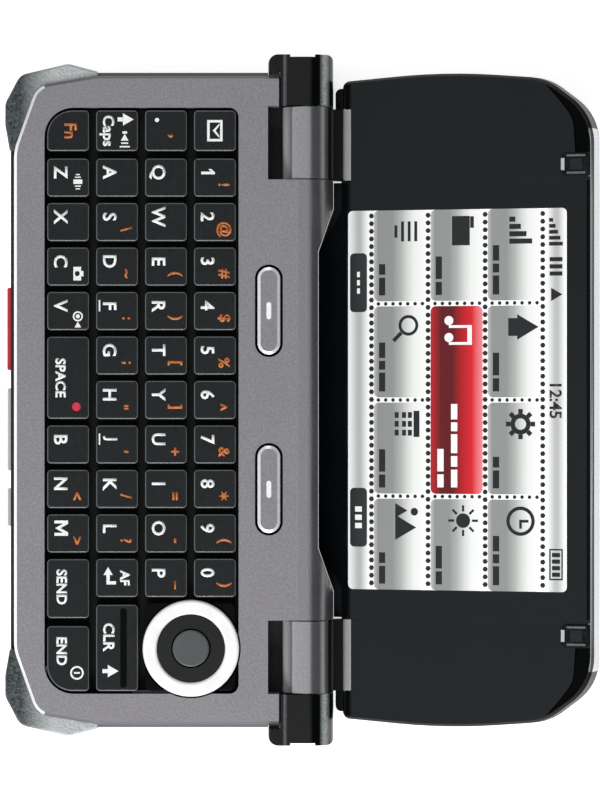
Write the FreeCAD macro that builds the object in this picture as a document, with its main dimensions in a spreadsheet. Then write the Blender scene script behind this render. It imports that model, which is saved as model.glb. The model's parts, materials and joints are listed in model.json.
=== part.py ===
import FreeCAD, Part
import math
import os
import Sketcher
from FreeCAD import Placement, Rotation, Vector

# A sideways-opening rugged phone: a keyboard base and a lid with a wide screen.
# Millimetres. +X runs along the phone's length, +Y from the user's edge to the hinge, +Z up.
# The lid stands open, as at rest. The origin is on the underside, in the middle of the open
# phone's length and depth.

DRIVING_SIZES = (
    # the base's two shells
    ("base_length", 111.0, "base over its side walls"),
    ("base_front", 50.4, "hinge axis to the front wall's face"),
    ("base_height", 13.0, "underside to the face plate's top"),
    ("side_height", 9.0, "underside to the parting line of the two shells"),
    ("shell_wall", 2.0, "rear shell's side wall"),
    ("floor_wall", 1.6, "rear shell's floor"),
    ("corner_front", 12.5, "front corners' slant along the front"),
    ("corner_side", 13.7, "front corners' slant along the side"),
    ("corner_tip_x", 1.7, "corner's tip inside the side's line"),
    ("corner_tip_y", 3.85, "corner's tip behind the front's line"),
    ("corner_round", 4.5, "rounding of the tip"),
    ("corner_ease", 8.0, "rounding at the ends of the slants"),
    ("shell_bevel", 1.4, "bevel round the underside"),
    ("plate_inset", 0.8, "face plate's edge behind the rear shell's face"),
    ("plate_deck", 1.6, "face plate's top wall"),
    ("plate_bevel", 0.5, "bright bevel round the face plate"),
    ("seal_width", 0.7, "case seal's cord"),
    ("seal_inset", 0.15, "inside space to the case seal"),
    ("bumper_proud_front", 0.75, "corner bumpers outside the front wall"),
    ("bumper_proud_side", 1.3, "corner bumpers outside the side wall"),
    ("bumper_depth", 1.1, "corner bumpers let into the walls"),
    ("bumper_side", 14.8, "corner bumpers along the side"),
    ("bumper_side_ramp", 4.9, "ramp at that end of a bumper"),
    ("bumper_front", 13.3, "corner bumpers along the front"),
    ("bumper_front_ramp", 4.3, "ramp at that end of a bumper"),
    ("bumper_cut_x", 5.4, "start of the bumper's slant inside the side's line"),
    ("bumper_tip_x", 0.6, "bumper's tip inside the side's line"),
    ("bumper_tip_y", 1.8, "bumper's tip behind the front's line"),
    ("bumper_corner", 2.5, "rounding of the bumpers' corners"),
    ("bumper_edge", 0.5, "rounding of the bumpers' top edge"),
    ("bumper_low", 2.0, "underside to the bumpers"),
    ("bumper_drop", 0.7, "bumpers' top below the face plate's top"),
    # the hinge
    ("hinge_y", 0.98, "origin to the hinge axis"),
    ("hinge_drop", 4.3, "hinge axis below the face plate's top, and the barrel's radius"),
    ("open_angle", 162.0, "lid's travel from closed to open"),
    ("cap_proud", 2.8, "black end caps outside the side wall"),
    ("knuckle_length", 12.1, "each knuckle of the lid"),
    ("knuckle_gap", 0.2, "gap beside a knuckle"),
    ("barrel_clearance", 0.3, "gap round a knuckle"),
    ("cap_length", 8.6, "each black end cap"),
    ("cap_front", 4.9, "end cap in front of the axis"),
    ("flange_gap_side", 0.05, "side wall to the end cap's outer flange"),
    ("flange_front", 6.7, "flange in front of the axis"),
    ("flange_low", 3.0, "underside to the flange"),
    ("cap_nose", 1.7, "rounding of the flange's front corner"),
    ("cap_corner", 1.0, "rounding of the end cap's rear corner"),
    ("cap_notch_front", 3.0, "shallow notch in the end face, in front of the axis"),
    ("cap_notch_rear", 1.2, "that notch behind the axis"),
    ("cap_notch_depth", 0.4, "depth of that notch"),
    ("dish_radius", 2.9, "dish in an end cap's face"),
    ("dish_depth", 0.9, "depth of that dish"),
    ("slot_front", 6.75, "slot beside the knuckles in front of the axis"),
    ("cover_front", 1.6, "seam of the hinge cover in front of the axis"),
    ("chin_relief", 1.7, "middle barrel cut back behind the axis"),
    ("pin_radius", 1.5, "hinge pins"),
    ("pin_fit", 0.05, "hinge pin's running clearance"),
    ("pin_seat", 5.0, "pin's hold in the middle barrel"),
    ("pin_end", 3.3, "pin's hold in the end cap"),
    ("cartridge_radius", 2.7, "spring cartridge in a knuckle"),
    # the lid's shells
    ("closed_gap", 0.7, "face plate to the lid's inner face, closed"),
    ("lid_thickness", 8.3, "lid from inner to outer face"),
    ("frame_depth", 3.6, "silver frame's depth"),
    ("lid_wall", 1.3, "lid's outer wall"),
    ("thumb_half", 9.5, "half of the thumb recess in the lid's far edge"),
    ("thumb_depth", 1.0, "thumb recess"),
    ("floor_gap", 0.3, "open lid above the table"),
    ("chin_start", 0.6, "lid's chin from the axis"),
    ("chin_half", 24.8, "half of the chin's straight edge"),
    ("chin_slant", 7.2, "chin's slanting end along the length"),
    ("lid_rear", 4.4, "lid's hinge edge from the axis"),
    ("lid_rear_inset", 1.1, "lid's hinge edge inside the base's sides"),
    ("lid_waist", 23.0, "lid's widest place from the axis"),
    ("lid_waist_proud", 0.2, "lid outside the base's sides there"),
    ("lid_shoulder", 40.2, "start of the lid's corners from the axis"),
    ("lid_shoulder_inset", 1.3, "lid inside the base's sides there"),
    ("lid_top", 48.7, "lid's far edge from the axis"),
    ("lid_top_inset", 7.7, "ends of that edge inside the base's sides"),
    ("lid_corner", 9.5, "rounding of the lid's corners"),
    ("lid_waist_radius", 110.0, "rounding of the lid's sides at the widest place"),
    ("lid_rear_corner", 1.3, "rounding of the lid's corners at its hinge edge"),
    ("heel_step", 1.3, "heels behind the end caps inside the lid's side"),
    ("heel_near", 3.2, "heels from the axis"),
    ("heel_corner", 1.0, "heels' outer corners"),
    ("lid_shell_bevel", 0.8, "bevel round the lid's outer face"),
    ("frame_draft", 0.15, "frame narrower at its inner face"),
    ("frame_bevel", 0.4, "bright bevel round the lid's inner face"),
    ("shell_draft", 1.2, "outer shell narrower at its outer face"),
    ("lid_side_wall", 6.0, "lid's hinge edge beyond the space inside the lid"),
    ("cavity_near", 7.0, "that space from the axis"),
    ("cavity_far", 45.4, "far end of that space from the axis"),
    ("cavity_corner", 8.0, "far corners of that space"),
    ("shell_space_near", 14.4, "outer shell's space from the axis"),
    # the lid's inner face
    ("panel_inset", 0.55, "black panels inside the frame's edge"),
    ("panel_depth", 0.9, "thickness of the black panels"),
    ("seam_half", 37.4, "half of the middle panel"),
    ("seam_gap", 0.15, "gap at the panels' seams"),
    ("wing_near", 6.3, "side panels from the axis"),
    ("pad_width", 3.9, "lid pads along the length"),
    ("pad_depth", 5.0, "lid pads away from the hinge"),
    ("pad_proud", 0.4, "lid pads above the inner face"),
    ("pad_corner", 0.9, "lid pads' rounding"),
    ("strip_width", 2.6, "black strips in the lid's far corners"),
    ("strip_depth", 0.45, "those strips' thickness"),
    ("strip_reach", 2.0, "strips' ends along the lid's sides"),
    ("screen_half", 32.9, "half of the display module"),
    ("screen_near", 5.45, "display module from the axis"),
    ("screen_far", 44.7, "display module's far end from the axis"),
    ("screen_depth", 2.4, "display module's thickness"),
    ("lid_board_gap", 0.6, "gap beside the lid's board"),
    ("lid_board_thick", 0.8, "lid's board"),
    ("lid_screw_near", 10.0, "near lid screws from the axis"),
    ("lid_screw_far", 37.0, "far lid screws from the axis"),
    ("lid_screw_length", 5.2, "lid screws"),
    # the lid's outer face
    ("outer_window_gap", 0.5, "outer window to the receiver"),
    ("outer_window_length", 31.0, "outer window along the length"),
    ("outer_window_width", 24.0, "outer window across"),
    ("outer_window_thick", 1.0, "outer window's thickness"),
    ("outer_window_corner", 2.0, "outer window's corners"),
    ("outer_window_rim", 2.2, "outer window's edge round its display"),
    ("outer_middle", 29.4, "outer window and keys from the axis"),
    ("dial_first_x", 10.6, "first row of the dial keys"),
    ("dial_pitch_x", 9.6, "rows of the dial keys"),
    ("dial_pitch_y", 10.4, "columns of the dial keys"),
    ("dial_key_x", 8.0, "dial key along the length"),
    ("dial_key_y", 8.8, "dial key across"),
    ("call_keys_x", -2.4, "call and end keys"),
    ("receiver_gap", 0.8, "receiver to the lid's wall"),
    ("receiver_length", 2.6, "receiver along the length"),
    ("receiver_width", 9.0, "receiver across"),
    ("receiver_slot", 1.0, "sound slot's width"),
    # the keyboard
    ("key_pitch_x", 7.5, "columns of keys"),
    ("key_pitch_y", 8.25, "rows of keys"),
    ("first_column", -37.5, "middle of the first column of digits"),
    ("edge_column", -45.4, "middle of the column beside it"),
    ("first_row", 15.7, "first row in front of the axis"),
    ("key_width", 6.5, "letter key along the length"),
    ("key_depth", 7.1, "letter key across"),
    ("edge_key_width", 6.9, "key of the side column"),
    ("key_proud", 0.2, "keys above the face plate"),
    ("key_travel", 0.3, "gap under a key"),
    ("key_corner", 0.7, "keys' upright edges"),
    ("key_edge", 0.3, "keys' top edges"),
    ("outer_key_corner", 4.3, "rounded outer corner of the two front corner keys"),
    ("space_width", 13.9, "space key"),
    ("send_x", 31.8, "middle of the send key"),
    ("send_width", 10.0, "send key"),
    ("end_x", 43.6, "middle of the end key"),
    ("end_width", 11.0, "end key"),
    ("clear_x", 41.8, "middle of the clear key"),
    ("clear_width", 14.6, "clear key"),
    ("keyboard_margin", 0.45, "gap between the keys and the face plate"),
    ("opening_corner", 1.6, "rear corners of the keyboard opening"),
    ("opening_front_corner", 4.9, "front corners of the keyboard opening"),
    ("soft_x", 15.05, "soft keys from the middle"),
    ("soft_y", 6.6, "soft keys in front of the axis"),
    ("soft_length", 14.7, "soft key"),
    ("soft_width", 3.8, "soft key"),
    ("soft_gap", 0.45, "gap round a soft key"),
    # the navigation ring
    ("nav_x", 41.9, "middle of the navigation ring"),
    ("nav_y", 19.75, "navigation ring in front of the axis"),
    ("nav_radius", 8.15, "navigation ring"),
    ("nav_inner", 5.75, "inside of the navigation ring"),
    ("nav_gap", 0.25, "gap round the ring and round its middle key"),
    ("nav_bottom", 1.7, "underside of the ring below the face plate's top"),
    ("nav_well_drop", 0.35, "black well below the ring's top"),
    ("ok_radius", 3.1, "middle key"),
    ("carrier_radius", 6.2, "ring's carrier"),
    ("carrier_thick", 0.36, "ring's carrier"),
    # inside the base
    ("cavity_rear", 9.2, "inside space in front of the axis, beside the knuckles"),
    ("centre_wall", 2.2, "middle barrel's end beside the inside space"),
    ("cavity_step_rear", 3.9, "that space in front of the axis"),
    ("board_margin", 0.4, "gap beside the main board"),
    ("board_bottom", 7.4, "underside to the main board"),
    ("board_thick", 1.0, "main board"),
    ("mat_thick", 1.9, "rubber keypad mat"),
    ("boss_radius", 2.1, "screw bosses"),
    ("boss_inset", 3.9, "side bosses inside the side wall's face"),
    ("boss_rear_y", 14.0, "rear side bosses in front of the axis"),
    ("boss_front_y", 34.0, "front side bosses in front of the axis"),
    ("front_boss_x", 30.0, "front bosses from the middle"),
    ("front_boss_inset", 3.9, "front bosses behind the front face"),
    ("screw_radius", 0.8, "case screws"),
    ("screw_head", 1.5, "case screws' heads"),
    ("screw_recess", 1.2, "recess for a head"),
    ("screw_end", 2.2, "screw's end below the face plate's top"),
    # battery compartment
    ("battery_x", 10.0, "middle of the battery"),
    ("battery_y", 25.6, "battery in front of the axis"),
    ("battery_length", 56.0, "battery"),
    ("battery_width", 34.0, "battery"),
    ("battery_thick", 5.0, "battery"),
    ("battery_gap", 0.2, "gap round the battery"),
    ("battery_corner", 1.5, "battery's corners"),
    ("cover_beside", 5.0, "battery cover beyond the battery's ends"),
    ("cover_beyond", 2.0, "battery cover beyond the battery's long sides"),
    ("cover_thick", 1.2, "battery cover"),
    ("cover_drop", 0.15, "cover above the underside"),
    ("cover_gap", 0.15, "gap round the cover"),
    ("cover_corner", 4.0, "cover's corners"),
    ("well_wall", 1.2, "wall round the compartment"),
    ("cover_rim", 0.8, "raised floor beyond the cover's recess"),
    ("cover_floor", 1.2, "raised floor above the cover's recess"),
    ("contact_inset", 2.5, "first contact from the battery's end"),
    ("contact_pitch", 2.6, "battery contacts"),
    ("contact_length", 1.2, "battery contact along the length"),
    ("contact_width", 3.0, "battery contact across"),
    ("lock_radius", 3.4, "battery cover's lock"),
    ("lock_inset", 5.6, "lock from the cover's edge"),
    ("lock_slot", 1.0, "coin slot's width"),
    ("lock_slot_depth", 0.6, "coin slot's depth"),
    # parts on the board and the floor
    ("camera_x", -43.0, "camera"),
    ("camera_y", 16.5, "camera in front of the axis"),
    ("camera_radius", 4.4, "camera module"),
    ("lens_radius", 3.1, "camera's lens barrel"),
    ("lens_drop", 0.4, "lens above the underside"),
    ("speaker_x", -43.0, "loudspeaker"),
    ("speaker_y", 36.0, "loudspeaker in front of the axis"),
    ("speaker_radius", 6.0, "loudspeaker"),
    ("speaker_thick", 3.4, "loudspeaker"),
    ("grille_hole", 0.5, "loudspeaker's sound holes"),
    ("grille_ring", 2.2, "ring of sound holes"),
    ("motor_gap", 0.75, "vibration motor beside the raised floor"),
    ("motor_wall_gap", 0.355, "vibration motor behind the slanting front wall"),
    ("motor_radius", 2.0, "vibration motor"),
    ("motor_length", 5.0, "vibration motor"),
    ("motor_shaft", 0.4, "motor's shaft"),
    ("weight_length", 2.4, "vibration weight"),
    ("weight_radius", 1.9, "vibration weight"),
    # ports
    ("port_y", 26.0, "both ports in front of the axis"),
    ("flap_width", 11.0, "charging port's cover"),
    ("flap_height", 4.6, "charging port's cover"),
    ("flap_low", 3.7, "underside to that cover"),
    ("flap_thick", 1.1, "port covers"),
    ("flap_gap", 0.12, "gap round a port cover"),
    ("usb_width", 7.6, "charging connector"),
    ("usb_height", 2.8, "charging connector"),
    ("usb_length", 5.9, "charging connector"),
    ("jack_radius", 1.8, "headset socket's bore"),
    ("jack_width", 6.4, "headset socket"),
    ("jack_height", 5.4, "headset socket"),
    ("jack_length", 14.0, "headset socket"),
    ("jack_flap_width", 8.0, "headset socket's cover"),
    # keys in the front edge
    ("side_key_low", 2.9, "underside to the front-edge keys"),
    ("side_key_height", 3.8, "front-edge keys"),
    ("side_key_proud", 0.8, "front-edge keys outside the wall"),
    ("side_key_gap", 0.25, "gap round a front-edge key"),
    ("flange_gap", 0.35, "front-edge key's flange behind the wall"),
    ("flange_thick", 0.6, "that flange"),
    ("flange_over", 0.6, "flange beyond the key"),
    ("switch_gap", 0.5, "flange to its switch"),
    ("switch_thick", 1.2, "front-edge switches"),
    ("talk_key_x", -12.1, "red talk key"),
    ("talk_key_length", 14.0, "red talk key"),
    ("rocker_x", 5.0, "volume rocker"),
    ("rocker_length", 14.0, "volume rocker"),
    ("camera_key_x", 18.2, "camera key"),
    ("camera_key_length", 6.4, "camera key"),
)

LETTER_COLUMNS = 10
DIGIT_KEYS = 10
MIDDLE_LETTERS = 9
LOWER_LEFT_COLUMNS = (0, 1, 2, 3)
LOWER_RIGHT_COLUMNS = (6, 7, 8)
DIAL_ROWS = 4
DIAL_COLUMNS = 3
GRILLE_HOLES = 6
CONTACTS = 3
SIDES = (-1, 1)
CUT_OVERRUN = 1.0


class Size:
    """A length in millimetres that also carries the sheet expression it comes from."""

    def __init__(self, number, text):
        self.number = number
        self.text = text

    def __float__(self):
        return float(self.number)

    def __neg__(self):
        return Size(-self.number, f"(-{self.text})")

    def __add__(self, other):
        other = as_size(other)
        return Size(self.number + other.number, f"({self.text} + {other.text})")

    def __sub__(self, other):
        other = as_size(other)
        return Size(self.number - other.number, f"({self.text} - {other.text})")

    def __mul__(self, other):
        other = as_size(other)
        return Size(self.number * other.number, f"({self.text} * {other.text})")

    def __truediv__(self, other):
        other = as_size(other)
        return Size(self.number / other.number, f"({self.text} / {other.text})")

    def __rmul__(self, other):
        return as_size(other) * self

    def __radd__(self, other):
        return as_size(other) + self

    def __rsub__(self, other):
        return as_size(other) - self


def as_size(value):
    if isinstance(value, Size):
        return value
    return Size(value, f"({value!r})")


class Sizes:
    """The driving sizes, read from the document's sheet by name."""

    def __init__(self, document, rows):
        self.sheet = document.addObject("Spreadsheet::Sheet", "Sizes")
        for line, (alias, number, meaning) in enumerate(rows, 1):
            self.sheet.set(f"A{line}", meaning)
            self.sheet.set(f"B{line}", repr(number))
            self.sheet.setAlias(f"B{line}", alias)
        document.recompute()

    def __getattr__(self, alias):
        return Size(float(self.sheet.get(alias)), f"Sizes.{alias}")


doc = FreeCAD.newDocument("FlipPhone")
S = Sizes(doc, DRIVING_SIZES)
nodes = {}


# Building blocks


def place_at(part, x, y, z):
    """Tie a primitive's corner or centre to the sheet."""
    for axis, value in zip("xyz", (x, y, z)):
        part.setExpression(f"Placement.Base.{axis}", as_size(value).text)


def block(name, x, y, z):
    """A box between a low and a high value along each axis."""
    box = doc.addObject("Part::Box", name)
    for prop, (low, high) in zip(("Length", "Width", "Height"), (x, y, z)):
        box.setExpression(prop, (as_size(high) - low).text)
    place_at(box, x[0], y[0], z[0])
    box.recompute()
    return box


def rod(name, axis, centre, radius, low, high):
    """A cylinder along X, Y or Z. centre holds its other two coordinates."""
    cylinder = doc.addObject("Part::Cylinder", name)
    cylinder.setExpression("Radius", as_size(radius).text)
    cylinder.setExpression("Height", (as_size(high) - low).text)
    turns = {"X": Rotation(Vector(0, 1, 0), 90), "Y": Rotation(Vector(1, 0, 0), -90), "Z": Rotation()}
    cylinder.Placement = Placement(Vector(), turns[axis])
    start = list(centre)
    start.insert("XYZ".index(axis), low)
    place_at(cylinder, *start)
    cylinder.recompute()
    return cylinder


def cut(name, base, *tools):
    """The base less all the tools."""
    result = doc.addObject("Part::Cut", name)
    result.Base = base
    result.Tool = tools[0] if len(tools) == 1 else join(name + "_tools", *tools)
    result.recompute()
    return result


def join(name, *parts):
    result = doc.addObject("Part::MultiFuse", name)
    result.Shapes = list(parts)
    result.recompute()
    return result


def overlap(name, first, second):
    result = doc.addObject("Part::Common", name)
    result.Base = first
    result.Tool = second
    result.recompute()
    return result


def group(name, *parts):
    """Separate solids kept together."""
    result = doc.addObject("Part::Compound", name)
    result.Links = list(parts)
    result.recompute()
    return result


def is_upright(edge):
    return abs(edge.tangentAt(edge.FirstParameter).z) > 0.9 and edge.Length > 0.01


def at_height(edge, height):
    return all(abs(vertex.Z - float(height)) < 1e-4 for vertex in edge.Vertexes)


def near_corner(edge, corner):
    """Whether an upright edge stands at one of the outline's corners."""
    x, y = (float(value) for value in corner)
    return is_upright(edge) and any(math.hypot(v.X - x, v.Y - y) < 0.02 for v in edge.Vertexes)


def rounded(name, base, *picks):
    """Round edges of a primitive. Each pick is a test on the edge and a radius."""
    fillet = doc.addObject("Part::Fillet", name)
    fillet.Base = base
    chosen = []
    for number, edge in enumerate(base.Shape.Edges, 1):
        for test, radius in picks:
            if test(edge):
                chosen.append((number, float(radius), float(radius)))
                break
    fillet.Edges = chosen
    fillet.recompute()
    return fillet


def new_body(name):
    body = doc.addObject("PartDesign::Body", name)
    planes = {feature.Role: feature for feature in body.Origin.OriginFeatures}
    return body, planes


def draw_outline(body, plane, name, offset, points):
    """A closed sketch of straight lines whose corners are tied to the sheet."""
    sketch = body.newObject("Sketcher::SketchObject", name)
    sketch.AttachmentSupport = (plane, [""])
    sketch.MapMode = "FlatFace"
    sketch.setExpression("AttachmentOffset.Base.z", as_size(offset).text)
    count = len(points)
    places = [Vector(float(x), float(y), 0) for x, y in points]
    for index in range(count):
        sketch.addGeometry(Part.LineSegment(places[index], places[(index + 1) % count]))
    for index in range(count):
        sketch.addConstraint(Sketcher.Constraint("Coincident", index, 2, (index + 1) % count, 1))
    for index, corner in enumerate(points):
        for kind, value in zip(("DistanceX", "DistanceY"), corner):
            number = sketch.addConstraint(Sketcher.Constraint(kind, index, 1, float(value)))
            sketch.setExpression(f"Constraints[{number}]", as_size(value).text)
    return sketch


def dress_edges(body, name, kind, size, test):
    """Fillet or chamfer the edges of the body's last feature that pass the test."""
    base = body.Tip
    feature = body.newObject(f"PartDesign::{kind}", name)
    chosen = [f"Edge{number}" for number, edge in enumerate(base.Shape.Edges, 1) if test(edge)]
    feature.Base = (base, chosen)
    feature.setExpression("Radius" if kind == "Fillet" else "Size", as_size(size).text)
    doc.recompute()
    return feature


def prism(name, points, low, high, corners=()):
    """An outline raised from low to high. corners lists (corner points, radius) to round."""
    body, planes = new_body(name)
    sketch = draw_outline(body, planes["XY_Plane"], name + "_outline", low, points)
    pad = body.newObject("PartDesign::Pad", name + "_pad")
    pad.Profile = sketch
    pad.setExpression("Length", (as_size(high) - low).text)
    doc.recompute()
    for number, (places, radius) in enumerate(corners):
        def at_places(edge):
            return any(near_corner(edge, place) for place in places)
        dress_edges(body, f"{name}_corners_{number}", "Fillet", radius, at_places)
    return body


def rectangle(x, y):
    return [(x[0], y[0]), (x[1], y[0]), (x[1], y[1]), (x[0], y[1])]


def mirrored(half):
    """Close a right half, listed from front to rear, with its left half."""
    return list(half) + [(-x, y) for x, y in reversed(half)]


def tapered(name, points, height, length, draft, downward):
    """An outline raised or lowered from a height by length, its sides drawn in by draft."""
    body, planes = new_body(name)
    sketch = draw_outline(body, planes["XY_Plane"], name + "_outline", height, points)
    pad = body.newObject("PartDesign::Pad", name + "_pad")
    pad.Profile = sketch
    pad.Reversed = downward
    pad.setExpression("Length", length.text)
    pad.setExpression("TaperAngle", f"-atan({draft.text} / {length.text})")
    doc.recompute()
    return body


def side_profile(name, points, low, high):
    """An outline of (y, z) points raised along X from low to high."""
    body, planes = new_body(name)
    sketch = draw_outline(body, planes["YZ_Plane"], name + "_outline", low, points)
    pad = body.newObject("PartDesign::Pad", name + "_pad")
    pad.Profile = sketch
    pad.setExpression("Length", (as_size(high) - low).text)
    doc.recompute()
    return body


def keep(node, part):
    """Name a finished piece and list it as a node."""
    part.Label = node
    nodes[node] = part


def span(middle, length):
    return (middle - length / 2, middle + length / 2)


def ahead(distance):
    """Y of a line in front of the hinge axis, towards the user."""
    return S.hinge_y - distance


# Places that several pieces share

half = S.base_length / 2
front = ahead(S.base_front)
plate_top = S.base_height
axis_z = plate_top - S.hinge_drop
barrel = S.hinge_drop
cap_out = half + S.cap_proud
cap_in = cap_out - S.cap_length
knuckle_out = cap_in - S.knuckle_gap
knuckle_in = knuckle_out - S.knuckle_length
centre_half = knuckle_in - S.knuckle_gap
step_half = centre_half - S.centre_wall
ledge = axis_z - barrel - S.barrel_clearance
deck_bottom = plate_top - S.plate_deck
board_top = S.board_bottom + S.board_thick
mat_top = board_top + S.mat_thick
key_bottom = mat_top + S.key_travel + 0.05
key_top = plate_top + S.key_proud
below = as_size(-CUT_OVERRUN)


# Rear shell's outline, shared by the shell, the seal and the bumpers

relief_half = S.chin_half + 0.5
relief_end = S.chin_half + S.chin_slant + 0.6
rear_end = S.hinge_y + barrel
knuckle_rear = S.hinge_y + 0.9


def front_corner(inset):
    """The base's right front corner, drawn in by inset: a slant in front, a tip, a slant beside it."""
    side = half - inset
    start = front + inset
    return [
        (side - S.corner_front, start),
        (side - S.corner_tip_x, start + S.corner_tip_y),
        (side, start + S.corner_side),
    ]


def corner_roundings(inset):
    """The corners of that outline on both sides, and their roundings."""
    slant_start, tip, slant_end = [[(x, y), (-x, y)] for x, y in front_corner(inset)]
    return [(tip, S.corner_round - inset), (slant_start + slant_end, S.corner_ease)]


def make_shell_block():
    right = front_corner(as_size(0.0)) + [
        (half, rear_end),
        (cap_in, rear_end),
        (cap_in, knuckle_rear),
        (centre_half, knuckle_rear),
        (centre_half, rear_end),
    ]
    body = prism("shell_block", mirrored(right), as_size(0.0), S.side_height,
                 corner_roundings(as_size(0.0)))

    def is_lower_rim(edge):
        middle = edge.CenterOfMass
        in_front = middle.y < float(front + S.corner_side) + 1
        return at_height(edge, 0) and (in_front or abs(abs(middle.x) - float(half)) < 1e-3)

    dress_edges(body, "shell_bevel", "Chamfer", S.shell_bevel, is_lower_rim)
    return body


def relief_tool(name):
    """The wedge behind the middle barrel that the lid's chin turns into."""
    right = [(relief_half, S.hinge_y + S.chin_relief), (relief_end, rear_end), (relief_end, rear_end + 2)]
    return prism(name, mirrored(right), below, plate_top + CUT_OVERRUN)


def cavity(name, low, high, inset):
    """The inside space: wide in front, narrower between the knuckles."""
    depth = S.shell_wall + inset
    right = front_corner(depth) + [
        (half - depth, ahead(S.cavity_rear) - inset),
        (step_half - inset, ahead(S.cavity_rear) - inset),
        (step_half - inset, ahead(S.cavity_step_rear) - inset),
    ]
    return prism(name, mirrored(right), low, high, corner_roundings(depth))


def screw_places():
    places = []
    for side in SIDES:
        places.append(((half - S.boss_inset) * side, ahead(S.boss_rear_y)))
        places.append(((half - S.boss_inset) * side, ahead(S.boss_front_y)))
        places.append((S.front_boss_x * side, front + S.front_boss_inset))
    return places


# Corner bumpers: rubber wrapped round both front corners, beside the face plate above the parting line

def base_outline(name, inset, low, high):
    """A block with the base's outline, drawn in by inset."""
    right = front_corner(inset) + [(half - inset, ahead(0))]
    return prism(name, mirrored(right), low, high, corner_roundings(inset))


def bumper_block(side, top):
    """A bumper before the base is taken out of it: it rises out of both walls on a ramp."""
    start, end = half - S.bumper_front, front + S.bumper_side
    right = [
        (start, end),
        (start, front),
        (start + S.bumper_front_ramp, front - S.bumper_proud_front),
        (half - S.bumper_cut_x, front - S.bumper_proud_front),
        (half - S.bumper_tip_x, front + S.bumper_tip_y),
        (half + S.bumper_proud_side, end - S.bumper_side_ramp),
        (half, end),
    ]
    points = [(x * side, y) for x, y in right]
    body = prism("bumper_block", points, S.bumper_low, top, [(points[2:6], S.bumper_corner)])

    def is_outer_top(edge):
        middle = edge.CenterOfMass
        inside = abs(middle.x * side - float(start)) < 0.01 or abs(middle.y - float(end)) < 0.01
        return at_height(edge, top) and not inside

    dress_edges(body, "bumper_edge", "Fillet", S.bumper_edge, is_outer_top)
    return body


def make_bumpers():
    top = plate_top - S.bumper_drop
    inner = base_outline("bumper_inner", S.bumper_depth, S.bumper_low - 1, S.side_height)
    upper = base_outline("bumper_upper", S.plate_inset, S.side_height, top + 1)
    blocks = group("bumper_blocks", *[bumper_block(side, top) for side in SIDES])
    keep("corner_bumpers", cut("bumpers", blocks, inner, upper))


# Rear shell: the lower tub with the battery compartment, bosses and the lower half of the barrel

def battery_place():
    return span(S.battery_x, S.battery_length), span(ahead(S.battery_y), S.battery_width)


def cover_place():
    x, y = battery_place()
    return grown(x, S.cover_beside), grown(y, S.cover_beyond)


def grown(interval, margin):
    return (interval[0] - margin, interval[1] + margin)


def side_key_places():
    return {
        "talk_key": (S.talk_key_x, S.talk_key_length),
        "volume_rocker": (S.rocker_x, S.rocker_length),
        "camera_key": (S.camera_key_x, S.camera_key_length),
    }


def flap_place(width, height, low, side):
    """X, Y and Z of a port cover let flush into a side wall."""
    outside = half * side
    inside = (half - S.flap_thick) * side
    x = (outside, inside) if side < 0 else (inside, outside)
    return x, span(ahead(S.port_y), width), (low, low + height)


usb_flap = flap_place(S.flap_width, S.flap_height, S.flap_low, 1)
usb_middle_z = S.board_bottom - S.usb_height / 2
jack_middle_z = S.board_bottom - S.jack_height / 2
jack_flap = flap_place(S.jack_flap_width, S.jack_height, S.board_bottom - S.jack_height, -1)


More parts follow.
